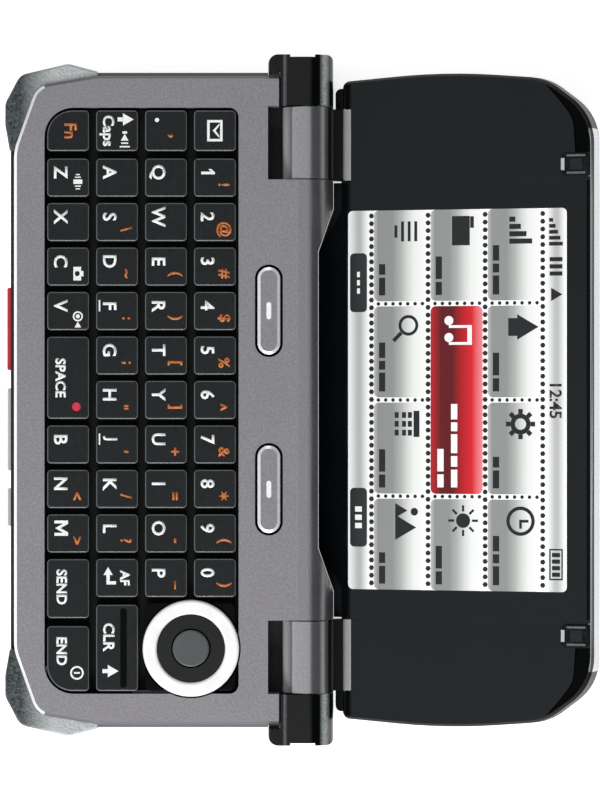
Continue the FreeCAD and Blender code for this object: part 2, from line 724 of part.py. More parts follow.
def make_rear_shell():
    shell = make_shell_block()
    space = cavity("shell_space", S.floor_wall, S.side_height + CUT_OVERRUN, 0)
    tub = cut("shell_tub", shell, space, relief_tool("shell_relief"))
    cover_x, cover_y = cover_place()
    pocket_x, pocket_y = battery_place()
    margin = S.battery_gap + S.well_wall
    well = block("battery_well", grown(pocket_x, margin), grown(pocket_y, margin),
                 (as_size(0.0), S.board_bottom))
    margin = S.cover_gap + S.cover_rim
    raised_floor = block("cover_floor", grown(cover_x, margin), grown(cover_y, margin),
                         (as_size(0.0), S.cover_drop + S.cover_thick + S.cover_floor))
    bosses = []
    for x, y in screw_places():
        bosses.append(rod("shell_boss", "Z", (x, y), S.boss_radius, S.floor_wall - 0.2, S.side_height))
    raised = join("shell_raised", tub, well, raised_floor, *bosses)
    tools = [
        block("pocket", grown(pocket_x, S.battery_gap), grown(pocket_y, S.battery_gap),
              (below, S.cover_drop + S.cover_thick + S.battery_thick + S.battery_gap)),
        rounded("cover_recess",
                block("cover_recess_box", grown(cover_x, S.cover_gap), grown(cover_y, S.cover_gap),
                      (below, S.cover_drop + S.cover_thick + 0.05)),
                (is_upright, S.cover_corner)),
        rod("lens_hole", "Z", (S.camera_x, ahead(S.camera_y)), S.lens_radius + 0.1, below,
            S.floor_wall + 0.1),
    ]
    for side in SIDES:
        x = sorted(((centre_half * side), (half + 1) * side), key=float)
        tools.append(block("hinge_step", x, (ahead(S.slot_front), rear_end + 1),
                           (ledge, S.side_height + CUT_OVERRUN)))
    tools.append(block("cover_step", (-centre_half - 1, centre_half + 1),
                       (ahead(S.cover_front), rear_end + 1), (axis_z, S.side_height + CUT_OVERRUN)))
    for x, y in screw_places():
        tools.append(rod("screw_hole", "Z", (x, y), S.screw_radius, below, S.side_height + 1))
        tools.append(rod("screw_recess", "Z", (x, y), S.screw_head, below, S.screw_recess))
    tools.append(rod("grille_middle", "Z", (S.speaker_x, ahead(S.speaker_y)), S.grille_hole, below,
                     S.floor_wall + 0.1))
    for turn in range(GRILLE_HOLES):
        angle = math.radians(360 * turn / GRILLE_HOLES)
        x = S.speaker_x + S.grille_ring * math.cos(angle)
        y = ahead(S.speaker_y) + S.grille_ring * math.sin(angle)
        tools.append(rod("grille_hole", "Z", (x, y), S.grille_hole, below, S.floor_wall + 0.1))
    key_z = (S.side_key_low - S.side_key_gap, S.side_key_low + S.side_key_height + S.side_key_gap)
    for middle, length in side_key_places().values():
        tools.append(block("side_key_hole", grown(span(middle, length), S.side_key_gap),
                           (front - 1, front + S.shell_wall + 0.1), key_z))
    for flap in (usb_flap, jack_flap):
        x, y, z = flap
        outside = x[1] if float(x[1]) > 0 else x[0]
        tools.append(block("flap_recess", grown(x, 0.01), grown(y, S.flap_gap), grown(z, S.flap_gap)))
        tools.append(rod("flap_swing", "Z", (outside, y[1]), S.flap_thick + S.flap_gap,
                         *grown(z, S.flap_gap)))
    tools.append(block("usb_hole", (half - S.shell_wall - 0.1, half),
                       span(ahead(S.port_y), S.usb_width + 0.8),
                       (usb_middle_z - S.usb_height / 2 - 0.4, S.board_bottom)))
    tools.append(rod("jack_hole", "X", (ahead(S.port_y), jack_middle_z), S.jack_radius + 0.9, -half,
                     -half + S.shell_wall + 0.1))
    for side in SIDES:
        tools.append(pin_hole("shell_pin_hole", side))
    tools.append(make_seal_ring("shell_seal_groove"))
    tools.extend(contact_blocks("contact_hole"))
    keep("rear_shell", cut("shell", cut("shell_cut", raised, *tools), nodes["corner_bumpers"]))


# Case seal: a rubber cord in a groove on the rear shell's rim

def make_seal_ring(name):
    z = (S.side_height - S.seal_width, S.side_height)
    inner_edge = -S.seal_inset
    outer = cavity(name + "_outer", *z, inner_edge - S.seal_width)
    return cut(name, outer, cavity(name + "_inner", *z, inner_edge))


# Hinge pins: steel, pressed into the middle barrel and the end caps

def pin_hole(name, side):
    x = sorted(((centre_half - S.pin_seat) * side, (cap_in + S.pin_end) * side), key=float)
    return rod(name, "X", (S.hinge_y, axis_z), S.pin_radius, *x)


def make_hinge_pins():
    keep("hinge_pins", group("pins", *[pin_hole("hinge_pin", side) for side in SIDES]))


# Hinge cover: the upper half of the middle barrel, behind a straight seam in the face plate

def make_hinge_cover():
    x = (-centre_half, centre_half)
    lip = block("cover_lip", x, (ahead(S.cover_front), S.hinge_y), (axis_z, plate_top))
    half_round = overlap("cover_round", rod("cover_rod", "X", (S.hinge_y, axis_z), barrel, *x),
                         block("cover_upper", x, (S.hinge_y - 0.05, rear_end + 1), (axis_z, plate_top + 1)))
    solid = join("cover_solid", lip, half_round)
    holes = [pin_hole("cover_pin_hole", side) for side in SIDES]
    keep("hinge_cover", cut("cover", solid, relief_tool("cover_relief"), *holes))


# End caps: black blocks outside the knuckles, with a flange over the side wall

def make_end_cap(side):
    low, high = S.hinge_y - S.cap_front, S.hinge_y + barrel
    inner = sorted((cap_in * side, cap_out * side), key=float)
    flange = sorted(((half + S.flange_gap_side) * side, cap_out * side), key=float)
    core = block("cap_core", inner, (low, high), (ledge, plate_top))
    wing = block("cap_wing", flange, (ahead(S.flange_front), high), (S.flange_low, plate_top))
    solid = join("cap_solid", core, wing)

    def along_axis(edge):
        return abs(edge.tangentAt(edge.FirstParameter).x) > 0.9

    def is_rear_top(edge):
        return along_axis(edge) and edge.CenterOfMass.y > float(high) - 0.01 and at_height(edge, plate_top)

    def is_front_top(edge):
        return along_axis(edge) and edge.CenterOfMass.y < float(S.hinge_y) and at_height(edge, plate_top)

    def is_nose(edge):
        return near_corner(edge, (cap_out * side, ahead(S.flange_front)))

    def is_rear_corner(edge):
        return near_corner(edge, (cap_out * side, high))

    shaped = rounded("cap_shaped", solid, (is_rear_top, barrel - 0.1), (is_front_top, 0.7),
                     (is_nose, S.cap_nose), (is_rear_corner, S.cap_corner))
    notch = sorted(((cap_out - S.cap_notch_depth) * side, (cap_out + 1) * side), key=float)
    notch_y = (ahead(S.cap_notch_front), S.hinge_y + S.cap_notch_rear)
    dish = sorted(((cap_out - S.dish_depth) * side, (cap_out + 1) * side), key=float)
    return cut("end_cap", shaped, pin_hole("cap_pin_hole", side),
               block("cap_notch", notch, notch_y, (below, plate_top + 1)),
               rod("cap_dish", "X", (S.hinge_y, axis_z), S.dish_radius, *dish))


def make_end_caps():
    keep("hinge_end_caps", group("end_caps", *[make_end_cap(side) for side in SIDES]))


# Keyboard layout: the row and column of each key, from the two pitches

def row_y(row):
    return ahead(S.first_row) - S.key_pitch_y * row


def column_x(column):
    return S.first_column + S.key_pitch_x * column


def keyboard_edges():
    left = S.edge_column - S.edge_key_width / 2 - S.keyboard_margin
    right = S.end_x + S.end_width / 2 + S.keyboard_margin
    near = row_y(3) - S.key_depth / 2 - S.keyboard_margin
    far = row_y(0) + S.key_depth / 2 + S.keyboard_margin
    return left, right, near, far


# Face plate: the grey upper shell with the keyboard opening

def make_face_plate():
    right = front_corner(S.plate_inset) + [
        (half - S.plate_inset, ahead(S.cap_front)),
        (cap_in - 0.1, ahead(S.cap_front)),
        (cap_in - 0.1, ahead(S.slot_front)),
        (centre_half, ahead(S.slot_front)),
        (centre_half, ahead(S.cover_front)),
    ]
    body = prism("plate_block", mirrored(right), S.side_height, plate_top,
                 corner_roundings(S.plate_inset))

    def is_outer_rim(edge_line):
        return at_height(edge_line, plate_top) and edge_line.CenterOfMass.y < float(ahead(S.cap_front)) - 2

    dress_edges(body, "plate_bevel", "Chamfer", S.plate_bevel, is_outer_rim)
    hollow = cut("plate_hollow", body, cavity("plate_space", S.side_height - 1, deck_bottom, 0))
    bosses = []
    for x, y in screw_places():
        bosses.append(rod("plate_boss", "Z", (x, y), S.boss_radius, S.side_height, deck_bottom + 0.2))
    left, right_edge, near, far = keyboard_edges()
    opening_box = block("opening_box", (left, right_edge), (near, far), (S.side_height - 1, plate_top + 1))

    def is_front_corner(edge_line):
        return is_upright(edge_line) and edge_line.CenterOfMass.y < float(near) + 0.01

    opening = rounded("keyboard_opening", opening_box, (is_front_corner, S.opening_front_corner),
                      (is_upright, S.opening_corner))
    tools = [opening, rod("nav_opening", "Z", (S.nav_x, ahead(S.nav_y)), S.nav_radius + S.nav_gap,
                          S.side_height - 1, plate_top + 1)]
    for side in SIDES:
        tools.append(capsule("soft_opening", side, S.soft_gap, S.side_height - 1, plate_top + 1))
    for x, y in screw_places():
        tools.append(rod("plate_screw_hole", "Z", (x, y), S.screw_radius, S.side_height - 1,
                         plate_top - S.screw_end))
    keep("face_plate", cut("plate", join("plate_solid", hollow, *bosses), *tools))


def capsule(name, side, margin, low, high):
    """A soft key's outline: a bar with half-round ends."""
    x = span(S.soft_x * side, S.soft_length + margin * 2)
    y = span(ahead(S.soft_y), S.soft_width + margin * 2)
    radius = (S.soft_width / 2 + margin) * 0.995
    return rounded(name, block(name + "_bar", x, y, (low, high)), (is_upright, radius))


# Main board, keypad mat and case screws

def make_board(node, low, high):
    side = half - S.boss_inset - S.boss_radius - S.board_margin
    start = front + S.front_boss_inset + S.boss_radius + S.board_margin
    right = [
        (side, start),
        (side, ahead(S.cavity_rear) - S.board_margin),
        (step_half - S.board_margin, ahead(S.cavity_rear) - S.board_margin),
        (step_half - S.board_margin, ahead(S.cavity_step_rear) - S.board_margin),
    ]
    keep(node, prism(node, mirrored(right), low, high))


def make_screws():
    screws = []
    for x, y in screw_places():
        shank = rod("screw_shank", "Z", (x, y), S.screw_radius, 0.3, plate_top - S.screw_end)
        head = rod("screw_top", "Z", (x, y), S.screw_head, 0.3, S.screw_recess)
        socket = rod("screw_socket", "Z", (x, y), S.screw_radius * 0.7, 0.2, 0.8)
        screws.append(cut("case_screw", join("screw_solid", shank, head), socket))
    keep("case_screws", group("screws", *screws))


# Battery, its cover and the cover's lock

def make_battery():
    x, y = battery_place()
    low = S.cover_drop + S.cover_thick + 0.05
    pack = block("battery_block", x, y, (low, low + S.battery_thick))
    keep("battery_pack", rounded("battery", pack, (is_upright, S.battery_corner)))


def contact_blocks(name):
    """Contacts through the compartment's roof, from the battery to the board."""
    low = S.cover_drop + S.cover_thick + 0.05 + S.battery_thick
    blocks = []
    first = battery_place()[0][0] + S.contact_inset
    for number in range(CONTACTS):
        x = span(first + S.contact_pitch * number, S.contact_length)
        blocks.append(block(name, x, span(ahead(S.battery_y), S.contact_width), (low, S.board_bottom)))
    return blocks


def make_battery_contacts():
    keep("battery_contacts", group("contacts", *contact_blocks("contact")))


def lock_centre():
    x, y = cover_place()
    return x[1] - S.lock_inset, ahead(S.battery_y)


def make_battery_cover():
    x, y = cover_place()
    z = (S.cover_drop, S.cover_drop + S.cover_thick)
    plate = rounded("cover_plate", block("cover_block", x, y, z), (is_upright, S.cover_corner))
    hole = rod("lock_hole", "Z", lock_centre(), S.lock_radius + 0.1, below, z[1] - 0.3)
    keep("battery_cover", cut("battery_cover_cut", plate, hole))


def make_cover_lock():
    centre = lock_centre()
    z = (S.cover_drop, S.cover_drop + S.cover_thick - 0.35)
    disc = rod("lock_disc", "Z", centre, S.lock_radius, *z)
    slot = block("coin_slot", span(centre[0], S.lock_radius * 1.5), span(centre[1], S.lock_slot),
                 (below, S.cover_drop + S.lock_slot_depth))
    keep("battery_cover_lock", cut("lock", disc, slot))


# Camera, loudspeaker and vibration motor

def make_camera():
    centre = (S.camera_x, ahead(S.camera_y))
    module = rod("camera_body", "Z", centre, S.camera_radius, S.floor_wall, S.board_bottom)
    lens = rod("camera_lens", "Z", centre, S.lens_radius, S.lens_drop, S.floor_wall + 0.1)
    keep("camera_module", join("camera", module, lens))


def make_loudspeaker():
    centre = (S.speaker_x, ahead(S.speaker_y))
    can = rod("speaker_can", "Z", centre, S.speaker_radius, S.floor_wall, S.floor_wall + S.speaker_thick)
    magnet = rod("speaker_magnet", "Z", centre, S.speaker_radius * 0.6, S.floor_wall,
                 S.floor_wall + S.speaker_thick + 1)
    keep("loudspeaker", join("speaker", can, magnet))


def make_vibration_motor():
    floor_end = cover_place()[0][1] + S.cover_gap + S.cover_rim
    x = floor_end + S.motor_gap + S.motor_radius
    z = S.floor_wall + S.motor_radius
    slant_start = half - S.shell_wall - S.corner_front
    slant_slope = S.corner_tip_y / (S.corner_front - S.corner_tip_x)
    wall = front + S.shell_wall + (x + S.motor_radius - slant_start) * slant_slope
    start = wall + S.motor_wall_gap
    end = start + S.motor_length
    can = rod("motor_can", "Y", (x, z), S.motor_radius, start, end)
    foot = block("motor_foot", span(x, S.motor_radius * 2), (start, end), (S.floor_wall, z))
    shaft = rod("motor_shaft", "Y", (x, z), S.motor_shaft, end, end + S.weight_length + 0.6)
    keep("vibration_motor", join("motor", can, foot, shaft))
    low = end + 0.3
    disc = rod("weight_disc", "Y", (x, z), S.weight_radius, low, low + S.weight_length)
    upper = block("weight_trim", (x - 3, x + 3), (low - 1, low + S.weight_length + 1),
                  (z + S.motor_shaft + 0.4, z + 3))
    bore = rod("weight_bore", "Y", (x, z), S.motor_shaft + 0.05, low - 1, low + S.weight_length + 1)
    keep("vibration_weight", cut("weight", disc, upper, bore))


# Ports and their hinged covers

def make_ports():
    y = ahead(S.port_y)
    outside = half - S.shell_wall
    usb = block("usb_block", (outside - S.usb_length, outside), span(y, S.usb_width),
                (S.board_bottom - S.usb_height, S.board_bottom))
    mouth = block("usb_mouth", (outside - S.usb_length + 1, outside + 1), span(y, S.usb_width - 0.7),
                  (S.board_bottom - S.usb_height + 0.35, S.board_bottom - 0.35))
    tongue = block("usb_tongue", (outside - S.usb_length + 0.5, outside - 0.8), span(y, S.usb_width - 2.6),
                   span(usb_middle_z + 0.4, as_size(0.6)))
    keep("charging_connector", join("usb", cut("usb_shell", usb, mouth), tongue))
    jack = block("jack_block", (-outside, -outside + S.jack_length), span(y, S.jack_width),
                 (S.board_bottom - S.jack_height, S.board_bottom))
    bore = rod("jack_bore", "X", (y, jack_middle_z), S.jack_radius, -outside - 1,
               -outside + S.jack_length - 1)
    keep("headset_socket", cut("jack", jack, bore))


def make_flaps():
    for node, flap in (("charging_port_cover", usb_flap), ("headset_port_cover", jack_flap)):
        x, y, z = flap
        keep(node, rounded(node + "_round", block(node + "_block", x, y, z),
                           (lambda edge: abs(edge.tangentAt(edge.FirstParameter).x) > 0.9, 0.5)))


# Keys in the front edge, each with a flange behind the wall, and their switches

def make_side_keys():
    z = (S.side_key_low, S.side_key_low + S.side_key_height)
    behind = front + S.shell_wall + S.flange_gap
    switch_start = behind + S.flange_thick + S.switch_gap
    switches = []
    for node, (middle, length) in side_key_places().items():
        face = block(node + "_face", span(middle, length), (front - S.side_key_proud, behind + 0.1), z)

        def is_outer(edge):
            return edge.CenterOfMass.y < float(front - S.side_key_proud) + 0.01

        cap = rounded(node + "_cap", face, (is_outer, 0.35))
        flange = block(node + "_flange", grown(span(middle, length), S.flange_over),
                       (behind, behind + S.flange_thick), grown(z, 0.5))
        keep(node, join(node + "_solid", cap, flange))
        switch_y = (switch_start, switch_start + S.switch_thick)
        switches.append(block(node + "_switch", span(middle, length * 0.8), switch_y,
                              (S.floor_wall, S.board_bottom - 0.6)))
    keep("side_switches", group("switches", *switches))


# Keyboard keys

def key_solid(name, x, y, width, depth, corner_x=0):
    """One key cap. corner_x tells on which side its front corner is rounded like the opening's."""
    cap = block(name + "_box", span(x, width), span(y, depth), (key_bottom, key_top))

    def is_round_corner(edge):
        middle = edge.CenterOfMass
        toward = (middle.x - float(x)) * corner_x
        return is_upright(edge) and corner_x != 0 and toward > 0 and middle.y < float(y)

    def is_top(edge):
        return at_height(edge, key_top)

    return rounded(name, cap, (is_round_corner, S.outer_key_corner), (is_upright, S.key_corner),
                   (is_top, S.key_edge))


def make_single_keys():
    x, width, depth = S.edge_column, S.edge_key_width, S.key_depth
    space_x = (column_x(4) + column_x(5)) / 2
    keep("message_key", key_solid("message", x, row_y(0), width, depth))
    keep("period_key", key_solid("period", x, row_y(1), width, depth))
    keep("caps_key", key_solid("caps", x, row_y(2), width, depth))
    keep("function_key", key_solid("function", x, row_y(3), width, depth, -1))
    keep("enter_key", key_solid("enter", column_x(9), row_y(2), S.key_width, depth))
    keep("clear_key", key_solid("clear", S.clear_x, row_y(2), S.clear_width, depth))
    keep("space_key", key_solid("space", space_x, row_y(3), S.space_width, depth))
    keep("send_key", key_solid("send", S.send_x, row_y(3), S.send_width, depth))
    keep("end_key", key_solid("end", S.end_x, row_y(3), S.end_width, depth, 1))


def make_key_row(node, row, columns):
    keys = [key_solid(f"{node}_{column}", column_x(column), row_y(row), S.key_width, S.key_depth)
            for column in columns]
    keep(node, group(node + "_row", *keys))


def make_soft_keys():
    for node, side in (("softkey_left", -1), ("softkey_right", 1)):
        keep(node, capsule(node + "_capsule", side, as_size(0.0), key_bottom, key_top))


# Navigation ring on its carrier, with a black well and the middle key

def make_navigation():
    centre = (S.nav_x, ahead(S.nav_y))
    bottom = plate_top - S.nav_bottom
    top = key_top + 0.05
    ring = rod("ring_disc", "Z", centre, S.nav_radius, bottom, top)
    ring_hole = rod("ring_hole", "Z", centre, S.nav_inner, bottom - 1, top + 1)

    def is_rim(edge):
        return at_height(edge, top)

    shaped = rounded("ring_shaped", cut("ring_cut", ring, ring_hole), (is_rim, 0.5))
    keep("nav_ring", shaped)
    well = rod("well_disc", "Z", centre, S.nav_inner, bottom, top - S.nav_well_drop)
    middle_gap = S.ok_radius + S.nav_gap
    keep("nav_well", cut("well", well, rod("well_hole", "Z", centre, middle_gap, bottom - 1, top + 1)))
    carrier_low = mat_top + 0.32
    carrier = rod("carrier_disc", "Z", centre, S.carrier_radius, carrier_low, carrier_low + S.carrier_thick)
    keep("nav_carrier", cut("carrier", carrier, rod("carrier_hole", "Z", centre, middle_gap,
                                                    carrier_low - 1, carrier_low + 1)))
    key = rod("ok_disc", "Z", centre, S.ok_radius, key_bottom, key_top)
    keep("ok_key", rounded("ok_round", key, (lambda edge: at_height(edge, key_top), 0.3)))


# The lid is drawn flat, as if open by 180 degrees, with the hinge axis on X: y is the distance
# from the axis, and the inner face looks up. Each of its pieces is then turned to the open angle.

tilt = 180.0 - float(S.open_angle)
lid_place = Placement(Vector(0, float(S.hinge_y), float(axis_z)), Rotation(Vector(1, 0, 0), tilt))
inner_face = -(S.hinge_drop + S.closed_gap)
frame_bottom = inner_face - S.frame_depth
outer_face = inner_face - S.lid_thickness
shell_inside = outer_face + S.lid_wall
panel_bottom = inner_face - S.panel_depth
screen_back = panel_bottom - S.screen_depth
lid_board_back = screen_back - S.lid_board_thick
lid_rear_half = half - S.lid_rear_inset
lid_waist_half = half + S.lid_waist_proud
lid_shoulder_half = half - S.lid_shoulder_inset
lid_top_half = half - S.lid_top_inset
heel_half = lid_rear_half - S.heel_step
cavity_half = lid_rear_half - S.lid_side_wall
receiver_x = -(cavity_half - S.receiver_gap - S.receiver_length / 2)
outer_window_x = receiver_x + S.receiver_length / 2 + S.outer_window_gap + S.outer_window_length / 2
lid_screw_x = lid_rear_half - S.lid_side_wall / 2


def keep_on_lid(node, part):
    """List a piece of the lid and turn it to the open angle."""
    holder = group(node + "_placed", part) if part.TypeId in ("Part::Box", "Part::Cylinder") else part
    holder.Placement = lid_place
    keep(node, holder)


def lid_outline(inset):
    """The lid seen square on, drawn in by inset all round."""
    right = [
        (S.chin_half - inset * 0.4, S.chin_start + inset),
        (S.chin_half + S.chin_slant - inset * 0.4, S.lid_rear + inset),
        (lid_rear_half - inset, S.lid_rear + inset),
        (lid_waist_half - inset, S.lid_waist),
        (lid_shoulder_half - inset, S.lid_shoulder - inset * 0.4),
        (lid_top_half - inset * 0.4, S.lid_top - inset),
    ]
    return mirrored(right)


def lid_corner_radii(outline):
    """Which of the outline's corners are rounded, and how much."""
    return [
        (outline[4:8], S.lid_corner),
        ([outline[3], outline[8]], S.lid_waist_radius),
        ([outline[2], outline[9]], S.lid_rear_corner),
    ]


def round_lid_corners(body, name, height):
    """Round the tapered block's slanting corner edges."""
    for number, (corners, radius) in enumerate(lid_corner_radii(lid_outline(as_size(0.0)))):
        def stands_there(edge):
            ends = [vertex for vertex in edge.Vertexes if abs(vertex.Z - float(height)) < 1e-4]
            rises = len({round(vertex.Z, 3) for vertex in edge.Vertexes}) == 2
            return rises and any(math.hypot(v.X - float(x), v.Y - float(y)) < 0.02
                                 for v in ends for x, y in corners)

        dress_edges(body, f"{name}_{number}", "Fillet", radius, stands_there)


def lid_space(name, near, low, high):
    """The space inside the lid, between two depths."""
    x = (-cavity_half, cavity_half)

    def is_far(edge):
        return is_upright(edge) and edge.CenterOfMass.y > float(near) + 5

    box = block(name + "_box", x, (near, S.cavity_far), (low, high))
    return rounded(name, box, (is_far, S.cavity_corner))


def lid_screw_places():
    return [(lid_screw_x * side, y) for side in SIDES for y in (S.lid_screw_near, S.lid_screw_far)]


# Black panels of the lid's inner face: the middle one is the display window. Black strips fill the
# far corners, a little lower than the panels, and two pads stand on the panels beside them.

def make_panels():
    inset = S.frame_draft + S.panel_inset
    outline = lid_outline(inset)
    for index, corner in enumerate(lid_outline(as_size(0.0))):
        if index in (0, 1, 10, 11):
            outline[index] = corner
    outline[2] = (outline[2][0], S.lid_rear)
    outline[9] = (outline[9][0], S.lid_rear)
    whole = prism("panel_whole", outline, panel_bottom, inner_face, lid_corner_radii(outline)[:2])
    middle = block("panel_middle", (-S.seam_half, S.seam_half), (as_size(-1.0), S.lid_top),
                   (panel_bottom, inner_face))
    keep_on_lid("display_window", overlap("window_panel", whole, middle))
    areas = []
    for side in SIDES:
        x = sorted(((S.seam_half + S.seam_gap) * side, lid_waist_half * side), key=float)
        areas.append(block("wing_area", x, (S.wing_near, S.lid_top), (panel_bottom, inner_face)))
        x = sorted((knuckle_out * side, lid_waist_half * side), key=float)
        y = (S.lid_rear + inset, S.wing_near + 1)
        areas.append(block("wing_corner", x, y, (panel_bottom, inner_face)))
    both = overlap("wings_whole", whole, join("wing_areas", *areas))
    wedges = [corner_wedge("wing_cut", side, inner_face + 1) for side in SIDES]
    keep_on_lid("wing_panels", cut("wings", both, *wedges))
    return whole, overlap("panel_recess", whole, join("recess_areas", middle, *areas))


def strip_start():
    return S.seam_half + S.pad_width + S.seam_gap


def corner_wedge(name, side, high):
    """The far corner of the lid's inner face, outside the black panels."""
    width = S.strip_width
    far = S.lid_top - S.frame_draft - S.panel_inset
    beyond = lid_waist_half + 5
    right = [
        (strip_start(), far - width),
        (lid_top_half - width * 0.2, far - width * 1.15),
        (lid_shoulder_half - width * 1.3, S.lid_shoulder + S.strip_reach),
        (lid_shoulder_half + 1, S.lid_shoulder - S.strip_reach),
        (beyond, S.lid_shoulder - S.strip_reach),
        (beyond, S.lid_top + 3),
        (strip_start(), S.lid_top + 3),
    ]
    points = [(x * side, y) for x, y in right]
    return prism(name, points, panel_bottom, high, [(points[1:3], S.lid_corner / 2)])


def make_lid_pads(whole_panel):
    pads = []
    far = S.lid_top - S.frame_draft - S.panel_inset
    for side in SIDES:
        low, high = sorted(((S.seam_half + S.seam_gap) * side, strip_start() * side), key=float)
        pad = block("pad_block", (low, high), (far - 0.1 - S.pad_depth, far - 0.1),
                    (inner_face, inner_face + S.pad_proud))
        pads.append(rounded("pad", pad, (is_upright, S.pad_corner),
                            (lambda edge: at_height(edge, inner_face + S.pad_proud), S.pad_proud * 0.6)))
    strips = [corner_wedge("strip_area", side, panel_bottom + S.strip_depth) for side in SIDES]
    pads.append(overlap("corner_strips", whole_panel, group("strip_areas", *strips)))
    keep_on_lid("lid_pads", group("pads", *pads))


# Silver frame of the lid, one piece with the two knuckles and their necks

def make_knuckle(side):
    x = sorted((knuckle_in * side, knuckle_out * side), key=float)
    origin = (as_size(0.0), as_size(0.0))
    knuckle = rod("knuckle_round", "X", origin, barrel, *x)
    depth = S.closed_gap + barrel
    neck_points = [
        (as_size(0.8), -(barrel * 0.55)),
        (as_size(2.6), -(barrel * 0.6)),
        (S.lid_rear + 0.4, -(depth + 0.6)),
        (S.lid_rear + 0.4, frame_bottom),
        (as_size(1.2), frame_bottom + 2.0),
    ]
    neck = side_profile("neck", neck_points, *x)
    return knuckle, neck


def knuckle_bore(side):
    x = sorted((knuckle_in * side, knuckle_out * side), key=float)
    return rod("knuckle_bore", "X", (as_size(0.0), as_size(0.0)), S.cartridge_radius, *x)


def make_heel(side):
    """The frame's end beside a neck, close behind the end cap."""
    x = sorted((knuckle_out * side, heel_half * side), key=float)
    heel = block("heel_block", x, (S.heel_near, S.lid_rear + 1), (frame_bottom, inner_face - S.frame_bevel))
    corner = (heel_half * side, S.heel_near)
    return rounded("heel", heel, (lambda edge: near_corner(edge, corner), S.heel_corner))


def make_lid_frame(panel_recess):
    frame = tapered("frame_block", lid_outline(as_size(0.0)), frame_bottom, S.frame_depth,
                    S.frame_draft, False)
    round_lid_corners(frame, "frame_corners", frame_bottom)
    dress_edges(frame, "frame_bevel", "Chamfer", S.frame_bevel, lambda edge: at_height(edge, inner_face))
    pieces = [frame]
    for side in SIDES:
        pieces.extend(make_knuckle(side))
        pieces.append(make_heel(side))
    solid = join("frame_solid", *pieces)
    tools = [
        lid_space("frame_space", S.cavity_near, frame_bottom - 1, panel_bottom),
        block("screen_space", (-S.screen_half - 0.1, S.screen_half + 0.1), (S.screen_near, S.cavity_far),
              (frame_bottom - 1, panel_bottom)),
    ]
    for side in SIDES:
        tools.append(knuckle_bore(side))
    for x, y in lid_screw_places():
        tools.append(rod("frame_screw_hole", "Z", (x, y), S.screw_radius, frame_bottom - 1, panel_bottom))
        tools.append(rod("frame_screw_recess", "Z", (x, y), S.screw_head, panel_bottom - 1, panel_bottom))
    keep_on_lid("lid_frame", cut("frame", solid, panel_recess, *tools))


def make_hinge_cartridges():
    cartridges = []
    for side in SIDES:
        x = sorted((knuckle_in * side, knuckle_out * side), key=float)
        origin = (as_size(0.0), as_size(0.0))
        sleeve = rod("cartridge_sleeve", "X", origin, S.cartridge_radius, *x)
        bore = rod("cartridge_bore", "X", origin, S.pin_radius + S.pin_fit, *x)
        cartridges.append(cut("cartridge", sleeve, bore))
    keep_on_lid("hinge_cartridges", group("cartridges", *cartridges))


# Lid's outer shell, cut back near the hinge so that the open lid clears the table

def make_lid_shell():
    depth = S.lid_thickness - S.frame_depth
    shell = tapered("lid_shell_block", lid_outline(as_size(0.0)), frame_bottom, depth,
                    S.shell_draft, True)
    round_lid_corners(shell, "lid_shell_corners", frame_bottom)
    dress_edges(shell, "lid_shell_bevel", "Chamfer", S.lid_shell_bevel,
                lambda edge: at_height(edge, outer_face))
    slope = math.tan(math.radians(tilt))
    depth_at_axis = (float(axis_z) - float(S.floor_gap)) / math.cos(math.radians(tilt))
    reach = 30.0
    low = as_size(-5.0)
    bevel_points = [
        (low, as_size(-(depth_at_axis + slope * float(low)))),
        (low, outer_face - 10),
        (as_size(reach), outer_face - 10),
        (as_size(reach), as_size(-(depth_at_axis + slope * reach))),
    ]
    bevel = side_profile("floor_bevel", bevel_points, -half - 5, half + 5)
    tools = [bevel, lid_space("lid_shell_space", S.shell_space_near, shell_inside, frame_bottom + 1)]
    window_x, window_y = outer_window_place()
    recess = block("outer_recess_box", window_x, window_y,
                   (outer_face - 1, outer_face + S.outer_window_thick))
    tools.append(rounded("outer_window_recess", recess, (is_upright, S.outer_window_corner)))
    rim = -S.outer_window_rim
    tools.append(block("outer_display_hole", grown(window_x, rim), grown(window_y, rim),
                       (outer_face, shell_inside + 0.1)))
    for x, y in outer_key_places():
        tools.append(block("outer_key_hole", span(x, S.dial_key_x + 0.4), span(y, S.dial_key_y + 0.4),
                           (outer_face - 1, shell_inside + 0.1)))
    tools.append(block("receiver_slot", span(receiver_x, S.receiver_slot),
                       span(S.outer_middle, S.receiver_width * 0.6), (outer_face - 1, shell_inside + 0.1)))
    tools.append(block("thumb_recess", (-S.thumb_half, S.thumb_half),
                       (S.lid_top - S.thumb_depth, S.lid_top + 1), (outer_face - 1, frame_bottom)))
    for x, y in lid_screw_places():
        tools.append(rod("lid_screw_hole", "Z", (x, y), S.screw_radius, panel_bottom - S.lid_screw_length,
                         frame_bottom + 1))
    keep_on_lid("lid_outer_shell", cut("lid_shell", shell, *tools))


def outer_window_place():
    return span(outer_window_x, S.outer_window_length), span(S.outer_middle, S.outer_window_width)


def dial_key_places():
    places = []
    for row in range(DIAL_ROWS):
        for column in range(DIAL_COLUMNS):
            x = S.dial_first_x + S.dial_pitch_x * row
            y = S.outer_middle + S.dial_pitch_y * (column - 1)
            places.append((x, y))
    return places


def call_key_places():
    return [(S.call_keys_x, S.outer_middle + S.dial_pitch_y * side) for side in SIDES]


def outer_key_places():
    return dial_key_places() + call_key_places()


# What the lid holds: the main display, a board, the outer display, its window and the receiver

